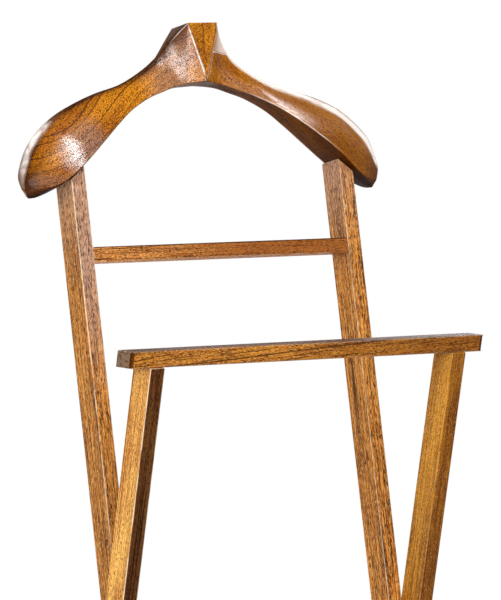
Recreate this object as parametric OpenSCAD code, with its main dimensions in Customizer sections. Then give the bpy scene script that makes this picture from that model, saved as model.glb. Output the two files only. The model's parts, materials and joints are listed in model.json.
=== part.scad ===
// Folding clothes valet. A coat frame with a shaped hanger and a trouser frame
// cross at two pivot bolts, and a slatted shoe rack holds their feet apart.
// Millimetres: X runs across, +Y to the back, +Z up, and the floor is z = 0.

/* [Stance] */
// Height of the pivot bolts above the floor
pivot_h = 417; // [400:1:440]
// Lean of each frame from upright, in degrees
lean = 12.5; // [11:0.5:14]

/* [Frame timber] */
// Thickness of an upright or a leg, across the stand
stile_t = 17; // [15:0.5:20]
// Depth of an upright or a leg, front to back
stile_d = 34; // [30:1:38]
// Width over the two uprights
coat_w = 350; // [330:5:370]
// Gap between an upright and the leg outside it
side_gap = 1; // [0.8:0.1:2]

/* [Hanger] */
// Span of the hanger from tip to tip
hanger_w = 444; // [420:2:470]
// Height of the arch's crown above the pivot, along the uprights
crown_up = 632; // [600:2:660]
// Width of the peak at its top
peak_w = 36; // [30:1:42]
// Height of the peak above the crown
peak_h = 62; // [54:1:70]

/* [Cross members] */
// Height of the crossbar's top above the pivot, along the uprights
crossbar_up = 460; // [420:5:480]
// Height of the crossbar
crossbar_h = 16; // [14:1:24]
// Depth of the crossbar and of the foot stretcher
member_d = 17; // [14:1:20]
// Height of the foot stretcher
stretcher_h = 34; // [26:1:44]

/* [Trouser bar] */
// Length of the trouser bar
bar_w = 431; // [400:1:450]
// Height of the trouser bar
bar_h = 17.6; // [14:0.2:24]
// Depth of the trouser bar, front to back
bar_d = 29.8; // [26:0.2:32]
// Height of the bar's middle above the pivot
bar_up = 350; // [330:5:370]

/* [Shoe rack] */
// Height of the rack's rod above the floor
rack_h = 100; // [90:1:115]
// Diameter of the rod that the rack turns on
rod_dia = 14; // [12:0.5:16]
// Width of the rack over its rails
rack_w = 300; // [280:5:310]
// Thickness of a rack rail
rail_t = 15; // [12:0.5:18]
// Height of a rack rail
rail_h = 24; // [22:1:28]
// How far the hook reaches down in front of the stretcher
hook_drop = 12; // [8:1:16]
// Thickness of the hook's lip
hook_t = 10; // [8:1:14]
// Number of slats
slat_count = 5; // [4:1:5]
// Width of a slat
slat_w = 20; // [16:1:22]
// Thickness of a slat
slat_t = 8; // [6:1:12]

/* [Fixings] */
// Diameter of the pivot bolts
bolt_dia = 6; // [5:0.5:8]
// Diameter of the bolt heads
bolt_head_dia = 14; // [12:0.5:16]
// Height of the domed bolt heads
bolt_head_h = 3.5; // [3:0.5:5]
// Diameter of the joint dowels
dowel_dia = 6; // [5:0.5:8]
// Depth of a dowel in each of its two pieces
dowel_in = 11; // [8:1:12]
// Diameter of the slat screws' heads
screw_head_dia = 6; // [5:0.5:7]
// Diameter of the slat screws' shanks
screw_dia = 3; // [2.5:0.5:4]
// Length of the slat screws
screw_len = 20; // [16:1:24]
// Thickness of the foot glides
glide_t = 3; // [2:0.5:5]
// Diameter of the foot glides
glide_dia = 15; // [12:0.5:15]

/* [Clearances] */
// Radial clearance of a pin or shaft that turns in its bore
run_fit = 0.05; // [0.03:0.01:0.08]
// Gap of a glued joint, on each face
glue_gap = 0.1; // [0.05:0.05:0.2]
// Gap between the rack and the stretcher that it rests on
rest_gap = 0.3; // [0.2:0.1:0.6]

/* [Hidden] */
$fn = 48;

LEFT = -1;
RIGHT = 1;
SIDES = [LEFT, RIGHT];

// ---- Places worked out from the driving sizes ----
far = 1500;
upright_in = coat_w / 2 - stile_t;
upright_mid = coat_w / 2 - stile_t / 2;
leg_in = coat_w / 2 + side_gap;
leg_mid = leg_in + stile_t / 2;
leg_out = leg_in + stile_t;
foot_y = (pivot_h - glide_t) * tan(lean);
foot_front = -foot_y - stile_d / 2 / cos(lean);

washer_t = 1.2;
washer_dia = bolt_head_dia;
nut_hex_dia = 11;
nut_hex_h = 5;
nut_dome_h = 4;
bolt_tip_gap = 1;
glide_nail_dia = 2.4;
glide_nail_len = 12;

rod_from_pivot = (pivot_h - rack_h) / cos(lean);
rod_y = (pivot_h - rack_h) * tan(lean);
rod_in_leg = 12;
stretcher_top = (rack_h - rail_h / 2 - pivot_h + member_d / 2 * sin(lean)) / cos(lean) - rest_gap;
stretcher_mid = stretcher_top - stretcher_h / 2;
hook_gap = 2 * rest_gap;
hook_front = -member_d / 2 - hook_gap - hook_t;
rail_mid = rack_w / 2 - rail_t / 2;

// A point of the coat frame, v back and u up from the pivot, as [y, z] from the pivot.
function in_side_view(v, u) = [v * cos(lean) + u * sin(lean), u * cos(lean) - v * sin(lean)];

// ---- The hanger's form, in its own frame: x across, v back, h up from the crown ----
// One half of the hanger is lofted through these stations, from the peak's corner to
// the tip. Each gives x and h of the lower edge, x and h of the crest, the widths of
// the lower, upper and back rims, the depths of the lower arris, upper arris, crest
// front, crest back and back face, the swell of the front face, the belly of the
// underside below the lower edge and the fall of the crest to its back.
STATIONS = [
    [   18,     -1,  18,    62, 0.8, 0.8, 38, -12.0, -26.4, -25.6,  7.5, 12.5, 0.0, 0.0, 0.0],
    [   30,     -3,  30,    49, 0.8, 2.4, 26,  -8.6, -10.5,  -6.5,  6.0, 12.5, 0.0, 0.0, 1.0],
    [   45,     -8,  45,    31, 0.8, 3.0, 12,  -7.9,  -2.5,   2.0,  9.0, 12.5, 0.0, 0.0, 3.0],
    [   65,    -15,  65,  16.5, 0.8, 3.4,  7,  -9.2,  -0.6,   2.5, 10.0, 13.0, 0.5, 0.0, 3.0],
    [   90,    -28,  92,   2.5, 0.8, 3.6,  6, -14.4,   2.0,   4.5, 11.0, 14.0, 1.0, 0.5, 3.0],
    [  112,    -44, 120,  -5.5, 0.8, 4.6,  6, -20.2,   3.5,   9.0, 12.0, 15.5, 1.5, 1.5, 3.0],
    [  135,    -63, 150, -16.5, 0.8, 6.0,  6, -25.3,   1.0,   4.0, 11.5, 16.5, 2.5, 2.5, 3.0],
    [  157,    -82, 177, -29.5, 0.8, 7.0,  7, -26.8,  -1.0,   2.5, 11.0, 17.0, 3.0, 2.5, 3.0],
    [  176,    -98, 197, -44.5, 0.8, 8.0,  7, -22.0,   0.5,   4.0, 11.0, 17.0, 3.0, 2.5, 3.0],
    [190.5, -106.5, 211,   -60, 1.5, 8.5,  6, -15.0,   0.5,   4.5, 11.0, 16.0, 2.5, 2.0, 3.0],
    [  204,   -112, 218.5, -77, 5.0, 8.5,  6,  -5.5,   1.0,   6.0, 12.0, 17.0, 1.5, 2.0, 2.5],
    [  212,   -114, 222,   -90, 6.5, 7.0,  5,   0.0,   2.0,   9.0, 13.0, 14.5, 0.5, 1.5, 2.0],
    [  215,   -111, 220,  -103, 2.0, 3.0,  2,   5.0,   5.5,   9.0, 11.5, 12.5, 0.0, 1.0, 1.0],
];
station_steps = 3;
facet_steps = 4;
// Depth and height of the front facet's lowest point, and depth of the back there
apex_v = -21.6;
apex_h = 1.5;
crown_h = 0.5;
crown_back_v = 9.5;
rim_round = 0.35;
// Width of the bevel along the back's lower edge
back_edge = 2;
// The belly is full at this share of the depth, and this share of it is left at the back
belly_at = 0.4;
belly_left = 0.5;

// Smooth curve through four stations, from the second to the third.
function spline(a, b, c, d, t) =
    0.5 * (2 * b + (c - a) * t + (2 * a - 5 * b + 4 * c - d) * t * t
        + (3 * b - a - 3 * c + d) * t * t * t);
last_station = len(STATIONS) - 1;
ARM = [
    for (k = [0:last_station - 1], i = [0:station_steps - 1])
        spline(STATIONS[max(k - 1, 0)], STATIONS[k], STATIONS[k + 1],
            STATIONS[min(k + 2, last_station)], i / station_steps),
    STATIONS[last_station],
];
drawn_half_span = max([for (r = ARM) r[2]]);
// A station fitted to the span, the peak's width and the peak's height.
function fit_x(x) = x <= STATIONS[0][0]
    ? x * peak_w / 2 / STATIONS[0][0]
    : peak_w / 2 + (x - STATIONS[0][0]) * (hanger_w / 2 - peak_w / 2) / (drawn_half_span - STATIONS[0][0]);
function fit_h(h) = h > 0 ? h * peak_h / STATIONS[0][3] : h;

// Outline of one section, front face first, then the crest and the back.
function section(r, side) =
    let (lo = [fit_x(r[0]), fit_h(r[1])], up = [fit_x(r[2]), fit_h(r[3])],
        along = up - lo, tall = norm(along), dir = along / tall,
        rim_lo = r[4], rim_up = r[5], rim_back = r[6],
        arris = r[7], upper = r[8], crest_f = r[9], crest_b = r[10], back = r[11],
        swell = r[12], belly = r[13], fall = r[14],
        face = tall - rim_lo - rim_up,
        outline = [
            [arris + 0.7 * rim_lo, 0],
            [arris, rim_lo],
            for (t = [0.25, 0.5, 0.75])
                [arris + (upper - arris) * t - swell * 4 * t * (1 - t), rim_lo + face * t],
            [upper, tall - rim_up],
            [upper + (crest_f - upper) * rim_round, tall - rim_up * rim_round],
            [crest_f, tall],
            [crest_b, tall - fall],
            [back - (back - crest_b) * rim_round, tall - fall - (rim_back - fall) * rim_round],
            [back, tall - rim_back],
            [back, back_edge - belly * belly_left],
            [back - back_edge, -belly * belly_left],
            [arris + (back - arris) * belly_at, -belly],
        ])
    [for (p = outline) [side * (lo[0] + dir[0] * p[1]), p[0], lo[1] + dir[1] * p[1]]];

// Outline of a section through the peak, a share q of the way from the middle to
// its corner. The front bends at the slanting edge of the triangular facet.
function peak_section(q, side) =
    let (corner = section(STATIONS[0], 1), x = q * peak_w / 2,
        arris = [apex_v + (corner[1][1] - apex_v) * q, crown_h + (corner[1][2] - crown_h) * q],
        edge = [apex_v + (corner[5][1] - apex_v) * q, apex_h + (corner[5][2] - apex_h) * q],
        top = [corner[5][1], peak_h],
        back_in = (1 - q) * (corner[10][1] - crown_back_v),
        low_up = (1 - q) * (crown_h - corner[1][2]),
        outline = [
            arris + [0.56, -0.8],
            arris,
            for (t = [0.25, 0.5, 0.75]) arris + (edge - arris) * t,
            edge,
            (edge + top) / 2,
            top,
            for (k = [8:12]) [
                corner[k][1] - (k > 9 ? back_in : 0),
                corner[k][2] + (k > 10 ? low_up : 0),
            ],
            [arris[0] + (corner[10][1] - back_in - arris[0]) * belly_at, corner[13][2] + low_up],
        ])
    [for (p = outline) [side * x, p[0], p[1]]];

HANGER_SECTIONS = [
    for (k = [len(ARM) - 1:-1:0]) section(ARM[k], LEFT),
    for (k = [facet_steps - 1:-1:1]) peak_section(k / facet_steps, LEFT),
    for (k = [0:facet_steps - 1]) peak_section(k / facet_steps, RIGHT),
    for (k = [0:len(ARM) - 1]) section(ARM[k], RIGHT),
];
UNDERSIDE = [for (r = ARM) let (s = section(r, RIGHT)) [s[13][0], s[13][2]]];
seat_in_u = crown_up + lookup(upright_in, UNDERSIDE);
seat_out_u = crown_up + lookup(upright_in + stile_t, UNDERSIDE);
seat_mid_u = (seat_in_u + seat_out_u) / 2;
hanger_back = max([for (s = HANGER_SECTIONS, p = s) in_side_view(p[1], crown_up + p[2])[0]]);
// The origin is under the middle of the whole stand, so the pivot is off it in Y.
pivot_y = -(foot_front + hanger_back) / 2;

// ---- Placing and cutting tools ----
module at_pivot() { translate([0, pivot_y, pivot_h]) children(); }
module in_coat_frame() { at_pivot() rotate([-lean, 0, 0]) children(); }
module in_trouser_frame() { at_pivot() rotate([lean, 0, 0]) children(); }
module at_rod() { translate([0, pivot_y + rod_y, rack_h]) children(); }
module slab_above(z) { translate([-far, -far, z]) cube([2 * far, 2 * far, far]); }
// A cylinder along X, centred at x = at.
module rod_x(dia, len, at = 0) {
    translate([at, 0, 0]) rotate([0, 90, 0]) cylinder(d = dia, h = len, center = true);
}
// A profile drawn as [y, z] and extruded across the stand, centred at x = at.
module across(width, at = 0) {
    translate([at, 0, 0]) rotate([90, 0, 90]) linear_extrude(width, center = true) children();
}
// Everything above the slanting seat that the hanger rests on, lowered by drop.
module above_seat(side, drop) {
    slope = (seat_out_u - seat_in_u) / stile_t;
    mirror([side == LEFT ? 1 : 0, 0, 0]) rotate([90, 0, 0])
        linear_extrude(2 * stile_d, center = true)
            polygon([
                [upright_in - stile_t, seat_in_u - slope * stile_t - drop],
                [upright_in + 2 * stile_t, seat_out_u + slope * stile_t - drop],
                [upright_in + 2 * stile_t, far],
                [upright_in - stile_t, far],
            ]);
}
module stile(x_mid, grow = 0) {
    size = [stile_t + 2 * grow, stile_d + 2 * grow, far];
    translate([x_mid, 0, 0]) cube(size, center = true);
}

// ---- Dowels: each bore is the dowel grown by the glue gap ----
module hanger_dowel(side, grow = 0) {
    translate([side * upright_mid, 0, seat_mid_u])
        cylinder(d = dowel_dia + 2 * grow, h = 4 * dowel_in + 2 * grow, center = true);
}
module member_dowel(side, v, u, grow = 0) {
    translate([0, v, u]) rod_x(dowel_dia + 2 * grow, 2 * (dowel_in + grow), side * upright_in);
}
crossbar_v = member_d / 2 - stile_d / 2;
crossbar_mid = crossbar_up - crossbar_h / 2;
module crossbar_dowel(side, grow = 0) { member_dowel(side, crossbar_v, crossbar_mid, grow); }
stretcher_dowel_step = stretcher_h / 4;
module stretcher_dowel_pair(side, grow = 0) {
    for (k = [-1, 1]) member_dowel(side, 0, stretcher_mid + k * stretcher_dowel_step, grow);
}
bar_y = -bar_up * tan(lean);
bar_seat_z = bar_up - bar_h / 2;
module bar_dowel(side, grow = 0) {
    translate([side * leg_mid, 0, bar_seat_z / cos(lean)])
        cylinder(d = dowel_dia + 2 * grow, h = 2 * (dowel_in + grow), center = true);
}
module glide_nail(y, grow = 0) {
    translate([0, pivot_y + y, 0])
        cylinder(d = glide_nail_dia + 2 * grow, h = glide_t + glide_nail_len + grow);
}

// ---- Coat frame ----
module upright(side) {
    color("#a8683a") difference() {
        intersection() {
            in_coat_frame() stile(side * upright_mid);
            slab_above(glide_t);
        }
        in_coat_frame() {
            above_seat(side, glue_gap);
            rod_x(bolt_dia + 2 * run_fit, 3 * stile_t, side * upright_mid);
            hanger_dowel(side, glue_gap);
            crossbar_dowel(side, glue_gap);
            stretcher_dowel_pair(side, glue_gap);
        }
        translate([side * upright_mid, 0, 0]) glide_nail(-foot_y, glue_gap);
    }
}

module coat_hanger() {
    ring = len(HANGER_SECTIONS[0]);
    count = len(HANGER_SECTIONS);
    points = [for (s = HANGER_SECTIONS, p = s) p];
    sides = [
        for (j = [0:count - 2], i = [0:ring - 1])
            let (a = j * ring + i, b = j * ring + (i + 1) % ring)
            each [[a, b, b + ring], [a, b + ring, a + ring]],
    ];
    ends = [
        [for (i = [ring - 1:-1:0]) i],
        [for (i = [0:ring - 1]) (count - 1) * ring + i],
    ];
    color("#b06a2c") difference() {
        in_coat_frame() translate([0, 0, crown_up]) polyhedron(points, concat(sides, ends));
        in_coat_frame() for (side = SIDES) {
            difference() {
                stile(side * upright_mid, glue_gap);
                above_seat(side, 0);
            }
            hanger_dowel(side, glue_gap);
        }
    }
}

module crossbar() {
    color("#a86636") difference() {
        in_coat_frame() translate([0, crossbar_v, crossbar_mid])
            cube([2 * (upright_in - glue_gap), member_d, crossbar_h], center = true);
        in_coat_frame() for (side = SIDES) crossbar_dowel(side, glue_gap);
    }
}

module foot_stretcher() {
    color("#a86636") difference() {
        in_coat_frame() translate([0, 0, stretcher_mid])
            cube([2 * (upright_in - glue_gap), member_d, stretcher_h], center = true);
        in_coat_frame() for (side = SIDES) stretcher_dowel_pair(side, glue_gap);
    }
}

module hanger_dowels() {
    color("#d8b888") in_coat_frame() for (side = SIDES) hanger_dowel(side);
}
module crossbar_dowels() {
    color("#d8b888") in_coat_frame() for (side = SIDES) crossbar_dowel(side);
}
module stretcher_dowels() {
    color("#d8b888") in_coat_frame() for (side = SIDES) stretcher_dowel_pair(side);
}

// A nail-on glide: a disc under the foot with a nail up into the end grain.
module glide(y) {
    translate([0, pivot_y + y, 0]) cylinder(d = glide_dia, h = glide_t);
    glide_nail(y);
}
module coat_frame_glides() {
    color("#3a2a20") for (side = SIDES) translate([side * upright_mid, 0, 0]) glide(-foot_y);
}

// ---- Trouser frame ----
module leg(side) {
    color("#b87838") difference() {
        intersection() {
            in_trouser_frame() stile(side * leg_mid);
            slab_above(glide_t);
        }
        slab_above(pivot_h + bar_seat_z - glue_gap);
        in_trouser_frame() {
            rod_x(bolt_dia + 2 * run_fit, 3 * stile_t, side * leg_mid);
            bar_dowel(side, glue_gap);
        }
        at_rod() rod_x(rod_dia + 2 * glue_gap, 2 * (leg_in + rod_in_leg + glue_gap));
        translate([side * leg_mid, 0, 0]) glide_nail(foot_y, glue_gap);
    }
}

module trouser_bar() {
    slant = bar_h / 2 * tan(lean);
    color("#a8662e") difference() {
        at_pivot() translate([0, bar_y, bar_up]) across(bar_w)
            polygon([
                [-bar_d / 2 + slant, -bar_h / 2],
                [bar_d / 2 + slant, -bar_h / 2],
                [bar_d / 2 - slant, bar_h / 2],
                [-bar_d / 2 - slant, bar_h / 2],
            ]);
        in_trouser_frame() for (side = SIDES) bar_dowel(side, glue_gap);
    }
}

module bar_dowels() {
    color("#d8b888") in_trouser_frame() for (side = SIDES) bar_dowel(side);
}
module rack_rod() {
    color("#a8683a") at_rod() rod_x(rod_dia, 2 * (leg_in + rod_in_leg));
}
module trouser_frame_glides() {
    color("#3a2a20") for (side = SIDES) translate([side * leg_mid, 0, 0]) glide(foot_y);
}

// ---- Pivot fixings, drawn along +X with the leg's outer face at x = 0 ----
stack = 2 * stile_t + side_gap;
nut_seat = stack + washer_t;
nut_bore_h = nut_hex_h + nut_dome_h - 2 * bolt_tip_gap;
module outward(side) {
    at_pivot() translate([side * leg_out, 0, 0]) rotate([0, -side * 90, 0]) children();
}
// A round cap of the given height over a disc, as a half profile turned about the axis.
module dome(dia, high, steps = 8) {
    rotate_extrude() polygon([
        [0, 0],
        for (k = [0:steps]) [dia / 2 * cos(90 * k / steps), high * sin(90 * k / steps)],
    ]);
}
module pivot_bolt(side) {
    color("#8a7a62") outward(side) {
        cylinder(d = bolt_dia, h = nut_seat + nut_bore_h - bolt_tip_gap);
        mirror([0, 0, 1]) dome(bolt_head_dia, bolt_head_h);
    }
}
module washer(outer, bore, thick) {
    difference() {
        cylinder(d = outer, h = thick);
        translate([0, 0, -1]) cylinder(d = bore, h = thick + 2);
    }
}
module spacer_washers() {
    thin = 2 * run_fit;
    color("#d8d0c0") for (side = SIDES) outward(side) translate([0, 0, stile_t + thin])
        washer(washer_dia, bolt_dia + 4 * run_fit, side_gap - 2 * thin);
}
module nut_washers() {
    color("#8a7a62") for (side = SIDES) outward(side) translate([0, 0, stack + glue_gap])
        washer(washer_dia, bolt_dia + 4 * run_fit, washer_t - glue_gap);
}
module cap_nut(side) {
    color("#8a7a62") outward(side) translate([0, 0, nut_seat]) difference() {
        union() {
            cylinder(d = nut_hex_dia, h = nut_hex_h, $fn = 6);
            translate([0, 0, nut_hex_h]) dome(nut_hex_dia * cos(30), nut_dome_h);
        }
        translate([0, 0, -1]) cylinder(d = bolt_dia + 2 * run_fit, h = nut_bore_h + 1);
    }
}

// ---- Shoe rack, drawn from the rod's axis ----
module in_rack() { at_rod() children(); }
function from_rod(v, u) = in_side_view(v, u) - [rod_y, rack_h - pivot_h];
hook_top = stretcher_top + rest_gap;
hook_foot = stretcher_top - hook_drop;
seat_back = from_rod(member_d / 2, hook_top);
rack_front = from_rod(hook_front, hook_foot)[0];
module rail_profile() {
    difference() {
        union() {
            circle(d = rail_h);
            polygon([
                [0, -rail_h / 2],
                [0, rail_h / 2],
                [rack_front, rail_h / 2],
                from_rod(hook_front, hook_foot),
                from_rod(hook_front + hook_t, hook_foot),
                from_rod(hook_front + hook_t, hook_top),
                seat_back,
            ]);
        }
        circle(d = rod_dia + 2 * run_fit);
    }
}
screw_cone_h = screw_head_dia / 2 - screw_dia / 2;
// The first slat's screws pass in front of the rod, and the last slat stops short of the hook
slat_screw_clear = 2;
slat_first_y = -(rod_dia / 2 + screw_head_dia / 2 + slat_screw_clear);
slat_last_y = rack_front + slat_w;
function slat_y(k) = slat_first_y + (slat_last_y - slat_first_y) * (k - 1) / (slat_count - 1);
module slat_screw(k, side, grow = 0) {
    translate([side * rail_mid, slat_y(k), rail_h / 2 + slat_t]) {
        translate([0, 0, -screw_len]) cylinder(d = screw_dia + 2 * grow, h = screw_len);
        translate([0, 0, -screw_cone_h])
            cylinder(d1 = screw_dia + 2 * grow, d2 = screw_head_dia + 2 * grow, h = screw_cone_h);
    }
}
module rack_rail(side) {
    color("#a8683a") in_rack() difference() {
        across(rail_t, side * rail_mid) rail_profile();
        for (k = [1:slat_count]) slat_screw(k, side, glue_gap);
    }
}
module rack_slat(k) {
    if (k <= slat_count) color("#b47840") in_rack() difference() {
        translate([0, slat_y(k), rail_h / 2 + slat_t / 2 + glue_gap / 2])
            cube([rack_w, slat_w, slat_t - glue_gap], center = true);
        for (side = SIDES) slat_screw(k, side, glue_gap);
    }
}
module rack_screws() {
    color("#b8a070") in_rack() for (k = [1:slat_count], side = SIDES) slat_screw(k, side);
}

upright(LEFT);  // left_upright
upright(RIGHT);  // right_upright
coat_hanger();
crossbar();
foot_stretcher();
hanger_dowels();
crossbar_dowels();
stretcher_dowels();
coat_frame_glides();
leg(LEFT);  // left_leg
leg(RIGHT);  // right_leg
trouser_bar();
bar_dowels();
rack_rod();
trouser_frame_glides();
pivot_bolt(LEFT);  // left_pivot_bolt
pivot_bolt(RIGHT);  // right_pivot_bolt
spacer_washers();
nut_washers();
cap_nut(LEFT);  // left_cap_nut
cap_nut(RIGHT);  // right_cap_nut
rack_rail(LEFT);  // left_rack_rail
rack_rail(RIGHT);  // right_rack_rail
rack_slat(1);  // rack_slat_1
rack_slat(2);  // rack_slat_2
rack_slat(3);  // rack_slat_3
rack_slat(4);  // rack_slat_4
rack_slat(5);  // rack_slat_5
rack_screws();
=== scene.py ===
"""The looks of a folding clothes valet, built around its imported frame.

A coat frame with a carved hanger and a trouser frame with a plain bar cross at two pivot
bolts, over a slatted shoe rack. Each timber is dressed as its own sawn and eased piece with
its own growth rings. Metres throughout: X runs across, +Y to the back, +Z up.
"""

import json
import logging
import math
from dataclasses import dataclass, field, replace
from enum import Enum
from typing import Callable, Iterable, Protocol, Sequence

import bmesh
import bpy
from mathutils import Matrix, Vector


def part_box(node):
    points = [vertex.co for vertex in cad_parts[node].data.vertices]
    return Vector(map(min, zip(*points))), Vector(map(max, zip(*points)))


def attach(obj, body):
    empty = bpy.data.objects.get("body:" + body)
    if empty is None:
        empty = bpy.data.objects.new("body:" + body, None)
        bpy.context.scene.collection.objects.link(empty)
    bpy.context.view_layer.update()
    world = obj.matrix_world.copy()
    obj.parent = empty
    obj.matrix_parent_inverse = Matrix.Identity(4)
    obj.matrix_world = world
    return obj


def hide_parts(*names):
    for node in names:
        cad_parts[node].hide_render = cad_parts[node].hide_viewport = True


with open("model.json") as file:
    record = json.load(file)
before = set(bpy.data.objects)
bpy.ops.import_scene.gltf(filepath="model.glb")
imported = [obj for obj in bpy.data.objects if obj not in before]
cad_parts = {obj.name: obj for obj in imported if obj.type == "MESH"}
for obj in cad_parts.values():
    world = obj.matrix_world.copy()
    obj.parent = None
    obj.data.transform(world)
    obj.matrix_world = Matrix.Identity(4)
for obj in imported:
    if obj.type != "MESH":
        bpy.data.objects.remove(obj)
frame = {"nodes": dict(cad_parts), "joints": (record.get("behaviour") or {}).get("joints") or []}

LOG = logging.getLogger("clothes_valet")
MM = 0.001
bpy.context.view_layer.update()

Colour = tuple[float, float, float, float]
Triple = tuple[float, float, float]
Pair = tuple[float, float]
Stops = tuple[Pair, ...]
BMesh = bmesh.types.BMesh
Mesh = bpy.types.Mesh
Piece = bpy.types.Object
Material = bpy.types.Material


# ---------------------------------------------------------------- names and places


class Side(Enum):
    """Which side of the stand, as the sign of X."""

    LEFT = -1
    RIGHT = 1

    @property
    def word(self) -> str:
        """The side's name as the nodes spell it."""
        return self.name.lower()


class Body(Enum):
    """The three bodies that the pivots and the rack's rod let move."""

    COAT = "coat_frame"
    TROUSER = "trouser_frame"
    RACK = "shoe_rack"


class Slot(Enum):
    """The record's material slots."""

    HANGER_WOOD = "hanger_wood"
    FRAME_WOOD = "frame_wood"
    BAR_WOOD = "bar_wood"
    DOWEL_WOOD = "dowel_wood"
    BOLT_BRASS = "bolt_brass"
    SCREW_BRASS = "screw_brass"
    WASHER_FIBRE = "washer_fibre"
    GLIDE_PLASTIC = "glide_plastic"


def srgb(red: float, green: float, blue: float) -> Colour:
    """Turn a colour as a screen shows it, 0 to 255, into linear light.

    Args:
        red: Red, 0 to 255.
        green: Green, 0 to 255.
        blue: Blue, 0 to 255.

    Returns:
        The linear colour with full alpha.
    """
    shares = [value / 255 for value in (red, green, blue)]
    return (*(s / 12.92 if s <= 0.04045 else ((s + 0.055) / 1.055) ** 2.4 for s in shares), 1.0)


def eased(value: float, low: float, high: float, to_low: float, to_high: float) -> float:
    """Map a number from low..high to to_low..to_high with a soft start and end."""
    share = min(max((value - low) / (high - low), 0.0), 1.0)
    return to_low + (to_high - to_low) * share * share * (3 - 2 * share)


def eased_through(value: float, stops: Stops) -> float:
    """Follow a row of stops, softly from each to the next.

    Args:
        value: Where along the row.
        stops: The place and the number of each stop, in order.

    Returns:
        The number there, which stays the same before the first stop and after the last.
    """
    for (low, to_low), (high, to_high) in zip(stops, stops[1:]):
        if value < high:
            return eased(value, low, high, to_low, to_high)
    return stops[-1][1]


def middle_of(node: str) -> Vector:
    """The middle of a node's box."""
    low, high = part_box(node)
    return (low + high) / 2


def lengthwise(place: Matrix) -> Matrix:
    """Turn a local frame so that its Z runs across the stand, along a cross member."""
    return place @ Matrix(((0, 0, 1, 0), (1, 0, 0, 0), (0, 1, 0, 0), (0, 0, 0, 1)))


@dataclass(frozen=True)
class StandLayout:
    """Where the stand's parts lie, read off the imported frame."""

    pivot: Vector
    rod: Vector
    lean: float
    stile_thick: float
    upright_inner: float
    leg_outer: float

    @classmethod
    def of_frame(cls) -> "StandLayout":
        """Read the joints and the legs' boxes.

        Returns:
            The layout, with the lean worked out from the pivot and the rack's rod.
        """
        places = {joint["name"]: Vector(joint["pos_m"]) for joint in frame["joints"]}
        pivot, rod = places["fold"], places["rack_lift"]
        lean = math.atan2(rod.y - pivot.y, pivot.z - rod.z)
        upright_low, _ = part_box("right_upright")
        leg_low, leg_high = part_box("right_leg")
        return cls(pivot, rod, lean, leg_high.x - leg_low.x, upright_low.x, leg_high.x)

    def coat_place(self, x: float = 0.0, up: float = 0.0) -> Matrix:
        """Local frame of the coat frame's timbers: Y to the back, Z up along the uprights."""
        return self._leaning(-self.lean, x, up)

    def trouser_place(self, x: float = 0.0, up: float = 0.0) -> Matrix:
        """Local frame of the trouser frame's timbers: Y to the back, Z up along the legs."""
        return self._leaning(self.lean, x, up)

    def _leaning(self, turn: float, x: float, up: float) -> Matrix:
        """A frame at the pivot, turned about X, moved x across and then up along itself."""
        lift = Matrix.Translation(Vector((x, 0, up)))
        return Matrix.Translation(self.pivot) @ Matrix.Rotation(turn, 4, "X") @ lift


# ---------------------------------------------------------------- shader graph


@dataclass(frozen=True)
class Wire:
    """What one node hands to the next, with plain arithmetic on numbers."""

    graph: "ShaderGraph"
    socket: bpy.types.NodeSocket

    def __add__(self, other: "Feed") -> "Wire":
        """This number and another."""
        return self.graph.math("ADD", self, other)

    def __sub__(self, other: "Feed") -> "Wire":
        """This number less another."""
        return self.graph.math("SUBTRACT", self, other)

    def __rsub__(self, other: "Feed") -> "Wire":
        """Another number less this one."""
        return self.graph.math("SUBTRACT", other, self)

    def __mul__(self, other: "Feed") -> "Wire":
        """This number times another."""
        return self.graph.math("MULTIPLY", self, other)

    def __pow__(self, other: "Feed") -> "Wire":
        """This number to a power."""
        return self.graph.math("POWER", self, other)

    def __abs__(self) -> "Wire":
        """This number without its sign."""
        return self.graph.math("ABSOLUTE", self)


Feed = Wire | float | int | Sequence[float]


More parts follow.
